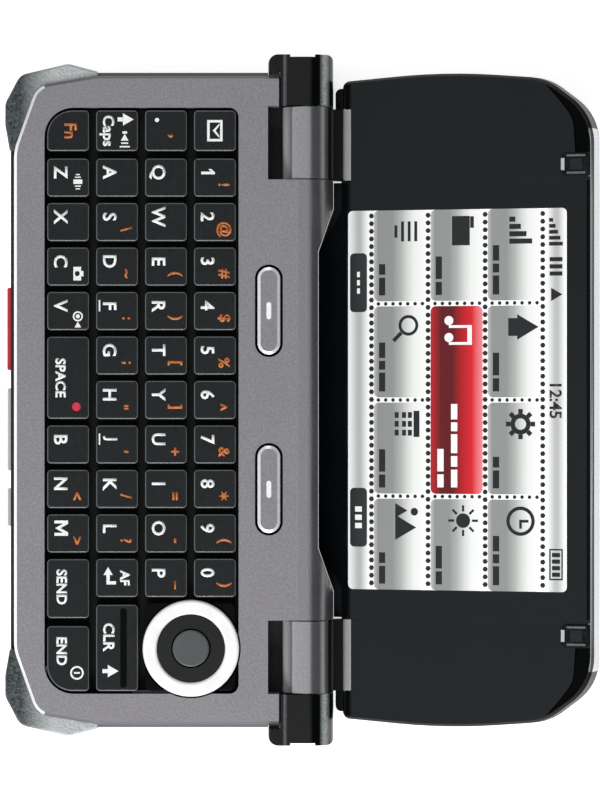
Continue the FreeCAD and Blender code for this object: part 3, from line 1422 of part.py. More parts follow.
def make_lid_inside():
    x = (-S.screen_half, S.screen_half)
    keep_on_lid("display_module", block("display_block", x, (S.screen_near, S.screen_far),
                                        (screen_back, panel_bottom)))
    board_y = (S.shell_space_near + 0.3, S.cavity_far - 2)
    board_half = cavity_half - S.lid_board_gap
    board = block("lid_board_block", (-board_half, board_half), board_y, (lid_board_back, screen_back))
    keep_on_lid("lid_board", rounded("lid_board_round", board, (is_upright, S.cavity_corner - 1)))
    window_x, window_y = outer_window_place()
    window = block("outer_window_block", window_x, window_y, (outer_face, outer_face + S.outer_window_thick))
    keep_on_lid("outer_window", rounded("outer_window_round", window, (is_upright, S.outer_window_corner)))
    rim = S.outer_window_rim + 0.1
    keep_on_lid("outer_display", block("outer_display_block", grown(window_x, -rim), grown(window_y, -rim),
                                       (outer_face + S.outer_window_thick, lid_board_back)))
    keep_on_lid("receiver", block("receiver_block", span(receiver_x, S.receiver_length),
                                  span(S.outer_middle, S.receiver_width), (shell_inside, lid_board_back)))


def outer_key(name, place):
    x, y = place
    cap = block(name + "_cap", span(x, S.dial_key_x), span(y, S.dial_key_y),
                (outer_face - S.key_proud, lid_board_back - S.key_travel - 0.05))
    low = outer_face - S.key_proud
    return rounded(name, cap, (is_upright, S.key_corner * 2), (lambda edge: at_height(edge, low), S.key_edge))


def make_outer_keys():
    keys = [outer_key(f"dial_{number}", place) for number, place in enumerate(dial_key_places())]
    keep_on_lid("dial_keys", group("dial_group", *keys))
    for node, place in zip(("outer_call_key", "outer_end_key"), call_key_places()):
        keep_on_lid(node, outer_key(node + "_round", place))


def make_lid_screws():
    screws = []
    for x, y in lid_screw_places():
        shank = rod("lid_screw_shank", "Z", (x, y), S.screw_radius, panel_bottom - S.lid_screw_length,
                    panel_bottom - 0.2)
        head = rod("lid_screw_head", "Z", (x, y), S.screw_head, panel_bottom - 1, panel_bottom - 0.2)
        screws.append(join("lid_screw", shank, head))
    keep_on_lid("lid_screws", group("lid_screw_group", *screws))


def build():
    make_bumpers()
    make_rear_shell()
    keep("case_seal", make_seal_ring("seal"))
    make_face_plate()
    make_hinge_cover()
    make_hinge_pins()
    make_end_caps()
    make_board("main_board", S.board_bottom, board_top)
    make_board("keypad_mat", board_top, mat_top)
    make_screws()
    make_battery()
    make_battery_contacts()
    make_battery_cover()
    make_cover_lock()
    make_camera()
    make_loudspeaker()
    make_vibration_motor()
    make_ports()
    make_flaps()
    make_side_keys()
    make_single_keys()
    make_key_row("digit_keys", 0, range(DIGIT_KEYS))
    make_key_row("upper_letter_keys", 1, range(LETTER_COLUMNS))
    make_key_row("middle_letter_keys", 2, range(MIDDLE_LETTERS))
    make_key_row("lower_letter_keys", 3, LOWER_LEFT_COLUMNS + LOWER_RIGHT_COLUMNS)
    make_soft_keys()
    make_navigation()
    whole_panel, panel_recess = make_panels()
    make_lid_pads(whole_panel)
    make_lid_frame(panel_recess)
    make_hinge_cartridges()
    make_lid_shell()
    make_lid_inside()
    make_outer_keys()
    make_lid_screws()


def check_and_write():
    doc.recompute()
    for part in doc.Objects:
        if "Invalid" in part.State or "Error" in part.State:
            raise ValueError(f"{part.Label} failed: {part.State}")
    for node, part in nodes.items():
        if part.Shape.isNull() or not part.Shape.isValid() or not part.Shape.Solids:
            raise ValueError(f"{node} has no valid shape")
    os.makedirs("parts", exist_ok=True)
    for node, part in nodes.items():
        part.Shape.exportStep(f"parts/{node}.step")
        print(f"{node}: {len(part.Shape.Solids)} solids, {part.Shape.Volume:.1f} mm3")


build()
check_and_write()
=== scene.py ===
import json
import math

import bmesh
import bpy
from mathutils import Matrix, Vector


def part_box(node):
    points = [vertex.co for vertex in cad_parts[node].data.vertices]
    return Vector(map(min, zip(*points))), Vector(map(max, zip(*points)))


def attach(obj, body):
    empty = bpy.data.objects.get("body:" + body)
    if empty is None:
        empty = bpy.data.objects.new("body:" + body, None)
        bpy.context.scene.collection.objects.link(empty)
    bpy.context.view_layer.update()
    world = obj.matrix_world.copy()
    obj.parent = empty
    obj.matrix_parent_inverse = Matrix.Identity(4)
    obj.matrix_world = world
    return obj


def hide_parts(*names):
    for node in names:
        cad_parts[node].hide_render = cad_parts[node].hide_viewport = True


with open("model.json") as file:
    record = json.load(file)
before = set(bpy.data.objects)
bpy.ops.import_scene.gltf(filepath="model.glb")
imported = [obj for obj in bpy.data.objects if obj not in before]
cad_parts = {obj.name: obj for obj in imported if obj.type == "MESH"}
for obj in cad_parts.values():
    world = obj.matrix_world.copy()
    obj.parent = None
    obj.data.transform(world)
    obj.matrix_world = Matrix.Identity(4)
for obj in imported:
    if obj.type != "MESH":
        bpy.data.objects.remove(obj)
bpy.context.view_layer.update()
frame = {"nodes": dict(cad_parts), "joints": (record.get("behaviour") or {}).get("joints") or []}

node = frame["nodes"]


# The photograph's set-up. The open phone lies on a pale table and the camera looks straight down
# on it from about 0.7 m, with the keyboard's left end at the top of the picture.

MM = 0.001
PLATE_TOP = 13.0
CAMERA_ABOVE_PLATE = 680.0
PICTURE_HEIGHT = 134.9
PICTURE_MIDDLE_Y = -0.37
FILM = 36.0
FAR_CLIP = 20000.0
ROOM_SHADES = ((-90, "#ffffff"), (-60, "#d4d4d4"), (8, "#cacaca"), (17, "#161616"), (57, "#161616"),
               (65, "#b4b4b4"), (84, "#b4b4b4"), (90, "#909090"))
SLOPE_REACH = 0.2
SLOPE_STRENGTH = (0.68, 1.32)
SOFT_BOX = 320.0
SOFT_BOX_PLACE = (620.0, -60.0, 470.0)
SOFT_BOX_WATTS = {"left_soft_box": 1.2, "right_soft_box": 4.9}
TABLE_RADIUS = 4000.0
TABLE_DROP = 0.05
TABLE_GLOW = 0.68


def linear(code):
    """A #rrggbb colour as linear red, green, blue and alpha."""
    shades = [int(code[start:start + 2], 16) / 255 for start in (1, 3, 5)]
    return [s / 12.92 if s <= 0.04045 else ((s + 0.055) / 1.055) ** 2.4 for s in shades] + [1.0]


def add_node(tree, kind, settings=None, links=None):
    """Add a shader node, set its properties and sockets, and feed its sockets from other nodes."""
    added = tree.nodes.new(kind)
    for name, value in (settings or {}).items():
        if isinstance(name, int) or name in added.inputs:
            added.inputs[name].default_value = value
        else:
            setattr(added, name, value)
    for name, source in (links or {}).items():
        tree.links.new(source, added.inputs[name])
    return added


def axes(tree, space="Object"):
    """X, Y and Z of the place, direction or map that a pattern follows."""
    where = add_node(tree, "ShaderNodeTexCoord")
    return add_node(tree, "ShaderNodeSeparateXYZ", links={0: where.outputs[space]}).outputs


def fill_ramp(ramp, stops):
    """Set a colour ramp's stops, given in order as places from 0 to 1 with their shades."""
    marks = ramp.color_ramp.elements
    for mark, (place, shade) in zip((marks[0], marks[1]), (stops[0], stops[-1])):
        mark.position, mark.color = place, linear(shade)
    for place, shade in stops[1:-1]:
        marks.new(place).color = linear(shade)


def new_material(name, **shader):
    """A material with one Principled shader, set by the shader's own socket names."""
    made = bpy.data.materials.new(name)
    made.use_nodes = True
    made.node_tree.nodes.clear()
    surface = add_node(made.node_tree, "ShaderNodeBsdfPrincipled",
                       {key.replace("_", " "): value for key, value in shader.items()})
    add_node(made.node_tree, "ShaderNodeOutputMaterial", links={0: surface.outputs[0]})
    return made, made.node_tree, surface


def set_up_camera():
    """A long lens straight above the plate, with the picture's upper edge towards the keyboard's left."""
    lens = bpy.data.cameras.new("photo_camera")
    lens.sensor_fit = "VERTICAL"
    lens.sensor_height = FILM
    lens.lens = FILM * CAMERA_ABOVE_PLATE / PICTURE_HEIGHT
    lens.clip_end = FAR_CLIP * MM
    camera = bpy.data.objects.new("photo_camera", lens)
    camera.location = (0, PICTURE_MIDDLE_Y * MM, (PLATE_TOP + CAMERA_ABOVE_PLATE) * MM)
    camera.rotation_euler = (0, 0, math.pi / 2)
    bpy.context.scene.collection.objects.link(camera)
    bpy.context.scene.camera = camera
    bpy.context.scene.view_settings.view_transform = "Standard"


def set_up_room():
    """A soft white room, with a dark gap and then a low bright window on the lid's side."""
    world = bpy.data.worlds.new("studio")
    world.use_nodes = True
    tree = world.node_tree
    tree.nodes.clear()
    toward = axes(tree, "Generated")
    turn = add_node(tree, "ShaderNodeMath", {"operation": "ARCTAN2"}, {0: toward["Y"], 1: toward["Z"]})
    share = add_node(tree, "ShaderNodeMapRange", {"From Min": -math.pi / 2, "From Max": math.pi / 2},
                     {"Value": turn.outputs[0]})
    ramp = add_node(tree, "ShaderNodeValToRGB", links={0: share.outputs[0]})
    fill_ramp(ramp, [((degrees + 90) / 180, shade) for degrees, shade in ROOM_SHADES])
    slope = add_node(tree, "ShaderNodeMapRange",
                     {"From Min": -SLOPE_REACH, "From Max": SLOPE_REACH, "To Min": SLOPE_STRENGTH[0],
                      "To Max": SLOPE_STRENGTH[1]}, {"Value": toward["X"]})
    room = add_node(tree, "ShaderNodeBackground",
                    links={"Color": ramp.outputs["Color"], "Strength": slope.outputs[0]})
    backdrop = add_node(tree, "ShaderNodeBackground", {"Color": linear("#ffffff")})
    seen = add_node(tree, "ShaderNodeLightPath")
    mix = add_node(tree, "ShaderNodeMixShader",
                   links={0: seen.outputs["Is Camera Ray"], 1: room.outputs[0], 2: backdrop.outputs[0]})
    add_node(tree, "ShaderNodeOutputWorld", links={0: mix.outputs[0]})
    bpy.context.scene.world = world


def hang_lamp(name, side):
    """A square soft box that faces the phone, beyond the keyboard's left (-1) or right (1) end."""
    light = bpy.data.lights.new(name, "AREA")
    light.size = SOFT_BOX * MM
    light.energy = SOFT_BOX_WATTS[name]
    lamp = bpy.data.objects.new(name, light)
    x, y, z = SOFT_BOX_PLACE
    lamp.location = Vector((side * x, y, z)) * MM
    lamp.rotation_euler = (-lamp.location).to_track_quat("-Z", "Y").to_euler()
    bpy.context.scene.collection.objects.link(lamp)


def lay_table():
    """A matt white table top just under the phone, shown white where nothing shades it."""
    shape = bmesh.new()
    bmesh.ops.create_circle(shape, cap_ends=True, segments=96, radius=TABLE_RADIUS * MM)
    mesh = bpy.data.meshes.new("table_top")
    shape.to_mesh(mesh)
    shape.free()
    laminate, tree, surface = new_material("white_laminate", Base_Color=linear("#f2f2f2"), Roughness=0.9,
                                           Emission_Color=linear("#ffffff"))
    seen = add_node(tree, "ShaderNodeLightPath")
    either = add_node(tree, "ShaderNodeMath", {"operation": "MAXIMUM"},
                      {0: seen.outputs["Is Camera Ray"], 1: seen.outputs["Is Glossy Ray"]})
    any_view = add_node(tree, "ShaderNodeMath", {"operation": "MAXIMUM"},
                        {0: either.outputs[0], 1: seen.outputs["Is Transmission Ray"]})
    glow = add_node(tree, "ShaderNodeMath", {"operation": "MULTIPLY", 1: TABLE_GLOW},
                    {0: any_view.outputs[0]})
    tree.links.new(glow.outputs[0], surface.inputs["Emission Strength"])
    mesh.materials.append(laminate)
    mesh.transform(Matrix.Translation((0, 0, -TABLE_DROP * MM)))
    table = bpy.data.objects.new("table_top", mesh)
    bpy.context.scene.collection.objects.link(table)


set_up_camera()
set_up_room()
hang_lamp("left_soft_box", -1)
hang_lamp("right_soft_box", 1)
lay_table()


# Rear shell and covers: a tub moulded in black ABS, its tool spark-eroded to a fine dull grain. The
# rim's top beside the face plate is grey at the sides and near black in front. The battery cover
# and the two hinged socket covers are of the same plastic, unpainted.

PATCH_SPAN = (0.3, 0.7)
SMUDGE_SPAN = (0.35, 0.65)
FACING_UP = (0.7, 1.1)
RIM_SIDE_X = 54
RIM_CORNER_Y = -41
PAST_THE_EDGE = 60


def mottle(tree, surface, patch, shades, relief, strength=0.4):
    """Patches of a given size in mm between two shades, raised by relief in mm."""
    where = add_node(tree, "ShaderNodeTexCoord")
    noise = add_node(tree, "ShaderNodeTexNoise", {"Scale": 1 / (patch * MM), "Detail": 3.0},
                     {"Vector": where.outputs["Object"]})
    spread = add_node(tree, "ShaderNodeMapRange", {"From Min": PATCH_SPAN[0], "From Max": PATCH_SPAN[1]},
                      {"Value": noise.outputs["Fac"]})
    tone = add_node(tree, "ShaderNodeMix",
                    {"data_type": "RGBA", 6: linear(shades[0]), 7: linear(shades[1])},
                    {0: spread.outputs[0]})
    bump = add_node(tree, "ShaderNodeBump", {"Distance": relief * MM, "Strength": strength},
                    {"Height": noise.outputs["Fac"]})
    tree.links.new(tone.outputs[2], surface.inputs["Base Color"])
    tree.links.new(bump.outputs[0], surface.inputs["Normal"])
    return tone


def smudges(tree, surface, patch, low, high):
    """Handled patches, of a size in mm, whose roughness lies between low and high."""
    where = add_node(tree, "ShaderNodeTexCoord")
    noise = add_node(tree, "ShaderNodeTexNoise", {"Scale": 1 / (patch * MM), "Detail": 2.0},
                     {"Vector": where.outputs["Object"]})
    rough = add_node(tree, "ShaderNodeMapRange",
                     {"From Min": SMUDGE_SPAN[0], "From Max": SMUDGE_SPAN[1], "To Min": low, "To Max": high},
                     {"Value": noise.outputs["Fac"]})
    tree.links.new(rough.outputs[0], surface.inputs["Roughness"])


def spark_grained_abs(name="spark_grained_abs"):
    """Moulded ABS that looks dull and faintly specked.

    The real grain of a tenth of a millimetre is drawn coarser, so that it shows.
    """
    made, tree, surface = new_material(name, IOR=1.53)
    mottle(tree, surface, patch=0.45, shades=("#1c1e20", "#2b2d30"), relief=0.03)
    smudges(tree, surface, patch=9.0, low=0.5, high=0.62)
    return made


def distance_across(tree):
    """How far a point lies from the phone's middle line, to either side."""
    return add_node(tree, "ShaderNodeMath", {"operation": "ABSOLUTE"}, {0: axes(tree)["X"]}).outputs[0]


def band(tree, value, low, high, unit=MM):
    """1 where a value lies between two limits, given in mm or in another unit, else 0."""
    above = add_node(tree, "ShaderNodeMath", {"operation": "GREATER_THAN", 1: low * unit}, {0: value})
    below = add_node(tree, "ShaderNodeMath", {"operation": "LESS_THAN", 1: high * unit}, {0: value})
    both = add_node(tree, "ShaderNodeMath", {"operation": "MULTIPLY"},
                    {0: above.outputs[0], 1: below.outputs[0]})
    return both.outputs[0]


def tint(made, shade, **limits):
    """Give a material another tone where its normal (ny, nz) or its place (px, py) is in limits."""
    tree = made.node_tree
    surface = next(item for item in tree.nodes if item.type == "BSDF_PRINCIPLED")
    tone = surface.inputs["Base Color"].links[0].from_socket
    normal = axes(tree, "Normal")
    values = {"ny": normal["Y"], "nz": normal["Z"], "px": distance_across(tree), "py": axes(tree)["Y"]}
    mask = None
    for key, (low, high) in limits.items():
        part = band(tree, values[key], low, high, MM if key in ("px", "py") else 1)
        if mask is not None:
            both = add_node(tree, "ShaderNodeMath", {"operation": "MULTIPLY"}, {0: part, 1: mask})
            part = both.outputs[0]
        mask = part
    shown = add_node(tree, "ShaderNodeMix", {"data_type": "RGBA", 7: linear(shade)}, {0: mask, 6: tone})
    tree.links.new(shown.outputs[2], surface.inputs["Base Color"])


def finish(material, *names):
    """Give carried-over parts their material."""
    for name in names:
        slots = node[name].data.materials
        if len(slots) == 0:
            slots.append(material)
        for index in range(len(slots)):
            slots[index] = material


black_abs = spark_grained_abs()
rim_abs = spark_grained_abs("rim_tinted_abs")
# The rim's top is tinted grey at the sides and near black in front.
tint(rim_abs, "#747378", nz=FACING_UP, px=(RIM_SIDE_X, PAST_THE_EDGE), py=(RIM_CORNER_Y, PAST_THE_EDGE))
tint(rim_abs, "#030404", nz=FACING_UP, px=(-1, RIM_SIDE_X), py=(-PAST_THE_EDGE, RIM_CORNER_Y))
finish(rim_abs, "rear_shell")
finish(black_abs, "battery_cover", "charging_port_cover", "headset_port_cover")


# Case screws, hinge pins and the small works inside: plated steel, turned and drawn, with fine
# rings or streaks left by the tool. The boards are green, and the battery wears a dark film.

TRACK_LENGTH = 6.0


def plated_steel():
    """Bright plated steel, its streaks drawn coarse enough to show as a light mottle."""
    made, tree, surface = new_material("plated_steel", Metallic=1.0, Roughness=0.32)
    mottle(tree, surface, patch=0.3, shades=("#8b8d90", "#b4b6b8"), relief=0.004, strength=0.2)
    return made


def printed_board():
    """Glass-fibre board under green solder mask, with its copper lines showing through."""
    made, tree, surface = new_material("printed_board", Roughness=0.35, IOR=1.5)
    where = add_node(tree, "ShaderNodeTexCoord")
    tracks = add_node(tree, "ShaderNodeTexBrick",
                      {"Scale": 1 / (TRACK_LENGTH * MM), "Mortar Size": 0.03, "Color1": linear("#0d3d24"),
                       "Color2": linear("#114a2c"), "Mortar": linear("#2b7a4a")},
                      {"Vector": where.outputs["Object"]})
    tree.links.new(tracks.outputs["Color"], surface.inputs["Base Color"])
    return made


def gold_plate():
    """Gold on the battery's contacts, warm and bright."""
    made, tree, surface = new_material("gold_plate", Metallic=1.0, Roughness=0.25)
    mottle(tree, surface, patch=0.5, shades=("#c9a24a", "#e0bd6a"), relief=0.004, strength=0.2)
    return made


def shrink_wrap():
    """The battery's printed film, left bare: dark grey, slightly wrinkled."""
    made, tree, surface = new_material("shrink_wrap", Roughness=0.38, IOR=1.5)
    mottle(tree, surface, patch=4.0, shades=("#3a3b3e", "#46484b"), relief=0.05, strength=0.3)
    return made


steel = plated_steel()
green_board = printed_board()
finish(steel, "case_screws", "lid_screws", "hinge_pins", "hinge_cartridges", "vibration_motor",
       "vibration_weight", "charging_connector", "loudspeaker", "nav_carrier", "battery_cover_lock")
finish(green_board, "main_board", "lid_board")
finish(gold_plate(), "battery_contacts")
finish(shrink_wrap(), "battery_pack")


# Corner bumpers, case seal and keypad mat: moulded rubber. The bumpers wrap the two front corners
# and carry a coarse knurled grain that catches the light in specks.

PALE_TIP_Y = (-47.5, -42.0)
PALE_SHARE = 0.8


def knurled_rubber():
    """Dark slate rubber, paler towards the tips at the front."""
    made, tree, surface = new_material("knurled_rubber", IOR=1.52, Roughness=0.55)
    grain = mottle(tree, surface, patch=0.5, shades=("#030505", "#4c5659"), relief=0.3, strength=1.0)
    starts, full = (place * MM for place in PALE_TIP_Y)
    paler_share = add_node(tree, "ShaderNodeMapRange", {"From Min": starts, "From Max": full, "To Max": PALE_SHARE},
                    {"Value": axes(tree)["Y"]})
    shown = add_node(tree, "ShaderNodeMix", {"data_type": "RGBA", 7: linear("#c8cccd")},
                     {0: paler_share.outputs[0], 6: grain.outputs[2]})
    tree.links.new(shown.outputs[2], surface.inputs["Base Color"])
    return made


def smooth_rubber():
    """Plain moulded rubber, deep black with hardly any shine."""
    made, tree, surface = new_material("smooth_rubber", IOR=1.5, Roughness=0.7, Specular_IOR_Level=0.2)
    mottle(tree, surface, patch=1.2, shades=("#060707", "#0d0f10"), relief=0.02)
    return made


mat_rubber_and_slit_shade = smooth_rubber()
finish(knurled_rubber(), "corner_bumpers")
finish(mat_rubber_and_slit_shade, "case_seal", "keypad_mat")


# Face plate and hinge cover: ABS sprayed with grey metallic paint, whose flakes sparkle slightly. A
# clear coat makes the hinge barrel mirror the room. The plate's bevel carries painted shade, and a pale
# painted highlight where it faces the front.

FLAKE = 0.35
ON_BEVEL = (0.3, 0.95)
FACING_FRONT = (-1, -0.3)


def metallic_paint(name, shades, metallic, roughness, coat):
    """Sprayed paint with a faint sparkle. Its flakes are drawn coarser than real, so that they show."""
    made, tree, surface = new_material(name, Metallic=metallic, Coat_Weight=coat, Coat_Roughness=0.12)
    mottle(tree, surface, patch=FLAKE, shades=shades, relief=0.004, strength=0.25)
    smudges(tree, surface, patch=12.0, low=roughness - 0.04, high=roughness + 0.04)
    return made


plate_paint = metallic_paint("grey_flake_paint", ("#8b898e", "#a19fa4"),
                             metallic=0.55, roughness=0.42, coat=0.15)
barrel_paint = metallic_paint("barrel_flake_paint", ("#98969b", "#a6a4a9"),
                              metallic=0.85, roughness=0.22, coat=0.3)
# Painted shade and painted highlight: the bevel is darker than the plate, and pale where it faces the front.
tint(plate_paint, "#656468", nz=ON_BEVEL)
tint(plate_paint, "#f4f4f6", nz=ON_BEVEL, ny=FACING_FRONT)
finish(plate_paint, "face_plate")
finish(barrel_paint, "hinge_cover")


# Hinge end caps: glossy black ABS from a polished tool, with faint handling marks. Painted shade lies
# near the front and rear edges, a pale painted highlight line in front and a grained grey painted
# highlight along the rear edge.

# Painted light bands across the end caps, in mm from the hinge's axis: painted shade near the edges, painted
# highlights as the pale line in front and the grey stripe at the rear.
CAP_PAINTED_LIGHT_BANDS = ((-4.2, "#020303"), (-3.3, "#020303"), (-2.98, "#666b6d"), (-2.5, "#090b0d"),
               (2.95, "#090b0d"), (3.75, "#bcc2c4"), (3.9, "#bcc2c4"), (4.7, "#050606"))
GLOSS = (0.07, 0.16)
GLOSS_IOR = 1.42


def polished_plastic(name, shades, low=GLOSS[0], high=GLOSS[1], ior=GLOSS_IOR):
    """Plastic from a polished tool, which mirrors the room except where it was handled."""
    made, tree, surface = new_material(name, IOR=ior)
    mottle(tree, surface, patch=14.0, shades=shades, relief=0.002, strength=0.1)
    smudges(tree, surface, patch=7.0, low=low, high=high)
    return made


def cap_abs_with_painted_light():
    """The end caps' black, with bands of painted shade and painted highlight at set distances in front of and
    behind the hinge's axis.
    """
    made, tree, surface = new_material("black_abs_with_painted_light", IOR=GLOSS_IOR)
    grain = mottle(tree, surface, patch=0.4, shades=("#b8b8b8", "#ffffff"), relief=0.002, strength=0.1)
    smudges(tree, surface, patch=7.0, low=GLOSS[0], high=GLOSS[1])
    first, last = CAP_PAINTED_LIGHT_BANDS[0][0], CAP_PAINTED_LIGHT_BANDS[-1][0]
    along = add_node(tree, "ShaderNodeMapRange", {"From Min": first * MM, "From Max": last * MM},
                     {"Value": axes(tree)["Y"]})
    ramp = add_node(tree, "ShaderNodeValToRGB", links={0: along.outputs[0]})
    fill_ramp(ramp, [((place - first) / (last - first), shade) for place, shade in CAP_PAINTED_LIGHT_BANDS])
    shown = add_node(tree, "ShaderNodeMix", {"data_type": "RGBA", "blend_type": "MULTIPLY", 0: 1.0},
                     {6: ramp.outputs["Color"], 7: grain.outputs[2]})
    tree.links.new(shown.outputs[2], surface.inputs["Base Color"])
    return made


finish(cap_abs_with_painted_light(), "hinge_end_caps")
finish(polished_plastic("polished_black_abs", ("#07090b", "#0c0f11")), "camera_module",
       "headset_socket", "side_switches")


# Keys: dark polycarbonate caps, sprayed satin and printed, standing over a rubber mat. Their
# bevels carry a pale painted highlight, legends are white and second functions orange.

KEY_TOP = 13.2
KEY_WIDTH = 6.5
INK = 0.02
CAPITAL = 2.3
CAPITAL_SHARE = 0.729
FONT_STROKE = 0.075
MAIN_SHIFT = (-0.9, -1.15)
SECOND_SHIFT = (1.2, 1.55)
SECOND_HEIGHT = 1.89
SMALL_J_SHARE = 0.8
HOME_MARK = (1.9, 0.25)
HOME_MARK_DROP = 2.95
CURVE_SIDES = 28
TOUCHING = 0.0001


def satin_key_plastic():
    """Satin spray on dark plastic, near black with a soft highlight and a grain drawn coarse."""
    made, tree, surface = new_material("satin_key_plastic", IOR=1.4)
    mottle(tree, surface, patch=0.5, shades=("#0b0f11", "#171b1e"), relief=0.006, strength=0.3)
    smudges(tree, surface, patch=5.0, low=0.26, high=0.36)
    return made


def printed_ink(name, shades):
    """Pad-printed ink, slightly uneven where it is thin."""
    made, tree, surface = new_material(name, Roughness=0.45, IOR=1.5)
    mottle(tree, surface, patch=0.6, shades=shades, relief=0.003, strength=0.2)
    return made


def add_word(shape, word, x, y, height, stroke=FONT_STROKE, own_middle=False):
    """A word in flat faces, centred on x, with its capitals or its own middle at y, in mm."""
    curve = bpy.data.curves.new("word", "FONT")
    curve.body = word
    curve.align_x = "CENTER"
    curve.size = height * MM / CAPITAL_SHARE
    curve.offset = stroke * MM
    curve.resolution_u = 3
    writer = bpy.data.objects.new("word", curve)
    mesh = bpy.data.meshes.new_from_object(writer)
    middle = height / 2
    if own_middle:
        levels = [vertex.co.y / MM for vertex in mesh.vertices]
        middle = (min(levels) + max(levels)) / 2
    mesh.transform(Matrix.Translation((x * MM, (y - middle) * MM, 0)))
    shape.from_mesh(mesh)
    bpy.data.objects.remove(writer)
    bpy.data.curves.remove(curve)
    bpy.data.meshes.remove(mesh)


def add_bar(shape, x, y, width, height, degrees=0.0):
    """A flat bar, in mm, turned about its middle."""
    place = (Matrix.Translation((x * MM, y * MM, 0)) @ Matrix.Rotation(math.radians(degrees), 4, "Z")
             @ Matrix.Diagonal((width * MM, height * MM, 1, 1)))
    bmesh.ops.create_grid(shape, x_segments=1, y_segments=1, size=0.5, matrix=place)


def add_disc(shape, x, y, radius, sides=CURVE_SIDES, degrees=0.0):
    """A flat disc or, with few sides, a polygon."""
    place = Matrix.Translation((x * MM, y * MM, 0)) @ Matrix.Rotation(math.radians(degrees), 4, "Z")
    bmesh.ops.create_circle(shape, cap_ends=True, segments=sides, radius=radius * MM, matrix=place)


def add_outline(shape, x, y, points):
    """One flat face through points given from its own place, in mm."""
    shape.faces.new([shape.verts.new(((x + dx) * MM, (y + dy) * MM, 0)) for dx, dy in points])


def add_hoop(shape, x, y, radius, width):
    """A flat hoop between radius - width and radius."""
    edges = []
    for rim in (radius, radius - width):
        made = bmesh.ops.create_circle(shape, segments=CURVE_SIDES, radius=rim * MM,
                                       matrix=Matrix.Translation((x * MM, y * MM, 0)))
        edges.extend({edge for vertex in made["verts"] for edge in vertex.link_edges})
    bmesh.ops.bridge_loops(shape, edges=edges)


def add_piece(shape, name, material, body, place):
    """Turn a closed bmesh into a piece that has its place in its mesh and rides on a body."""
    bmesh.ops.recalc_face_normals(shape, faces=shape.faces)
    mesh = bpy.data.meshes.new(name)
    shape.to_mesh(mesh)
    shape.free()
    mesh.transform(place)
    mesh.materials.append(material)
    piece = bpy.data.objects.new(name, mesh)
    bpy.context.scene.collection.objects.link(piece)
    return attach(piece, body)


def raise_print(shape, thickness=INK):
    """Give flat faces their thickness, upwards."""
    bmesh.ops.remove_doubles(shape, verts=shape.verts, dist=TOUCHING * MM)
    raised = bmesh.ops.extrude_face_region(shape, geom=shape.faces[:])
    points = [item for item in raised["geom"] if isinstance(item, bmesh.types.BMVert)]
    bmesh.ops.translate(shape, verts=points, vec=(0, 0, thickness * MM))


def add_print(shape, name, material, body, height=KEY_TOP):
    """Legends, raised from the flat and laid on a key's top or at another height in mm."""
    raise_print(shape)
    add_piece(shape, name, material, body, Matrix.Translation((0, 0, height * MM)))


def middle_of(name):
    """The middle of a part in mm, seen from above."""
    low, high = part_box(name)
    return (low.x + high.x) / 2 / MM, (low.y + high.y) / 2 / MM


def key_places(name, count):
    """The middles of a row of equal keys, from the row's own box."""
    low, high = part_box(name)
    width = KEY_WIDTH * MM
    step = (high.x - low.x - width) / (count - 1)
    return [((low.x + width / 2 + step * index) / MM, (low.y + high.y) / 2 / MM) for index in range(count)]


def letter_m(shape, x, y):
    """A bold M, drawn from listed points because the typeface blots when it is thickened."""
    half, stem, top = CAPITAL * 0.56, 0.5, CAPITAL / 2
    right = [(half - stem * 1.15, top), (half, top), (half, -top), (half - stem, -top),
             (half - stem, top * 0.3)]
    left = [(-dx, dy) for dx, dy in reversed(right)]
    add_outline(shape, x, y, [(0, -top * 0.1)] + right + [(0, -top * 0.9)] + left)


def figure_one(shape, x, y):
    """A 1 with a short flag."""
    top = CAPITAL / 2
    add_outline(shape, x, y, [(-0.1, -top), (0.35, -top), (0.35, top), (0.0, top), (-0.55, top * 0.45),
                              (-0.55, top * 0.05), (-0.1, top * 0.4)])


def star(shape, x, y):
    """A six-pointed star."""
    points = []
    for turn in range(12):
        reach = 0.95 if turn % 2 == 0 else 0.38
        points.append((reach * math.sin(turn * math.pi / 6), reach * math.cos(turn * math.pi / 6)))
    add_outline(shape, x, y, points)


def letter_j(shape, x, y):
    """A J made smaller, as its tail would hang below the other capitals."""
    add_word(shape, "J", x, y, CAPITAL * SMALL_J_SHARE, own_middle=True)


HAND_DRAWN = {"M": letter_m, "1": figure_one, "*": star, "J": letter_j}
ROWS = (
    ("digit_keys", "1234567890", "!@#$%^&*()", range(10), 10),
    ("upper_letter_keys", "QWERTYUIOP", "  ()[]+=-_", range(10), 10),
    ("middle_letter_keys", "ASDFGHJKL", " \\~:;\"'/?", range(9), 9),
    ("lower_letter_keys", "ZXCVBNM", "     <>", (0, 1, 2, 3, 6, 7, 8), 9),
)


satin = satin_key_plastic()
# Painted highlight: the bevels of every part in this satin are tinted pale.
tint(satin, "#5c6062", nz=ON_BEVEL)
white_ink = printed_ink("white_ink", ("#e9ebec", "#ffffff"))
orange_ink = printed_ink("orange_ink", ("#b4591f", "#cf7a3a"))
finish(satin, "digit_keys", "upper_letter_keys", "middle_letter_keys", "lower_letter_keys", "message_key",
       "period_key", "caps_key", "function_key", "enter_key", "clear_key", "space_key", "send_key", "end_key")

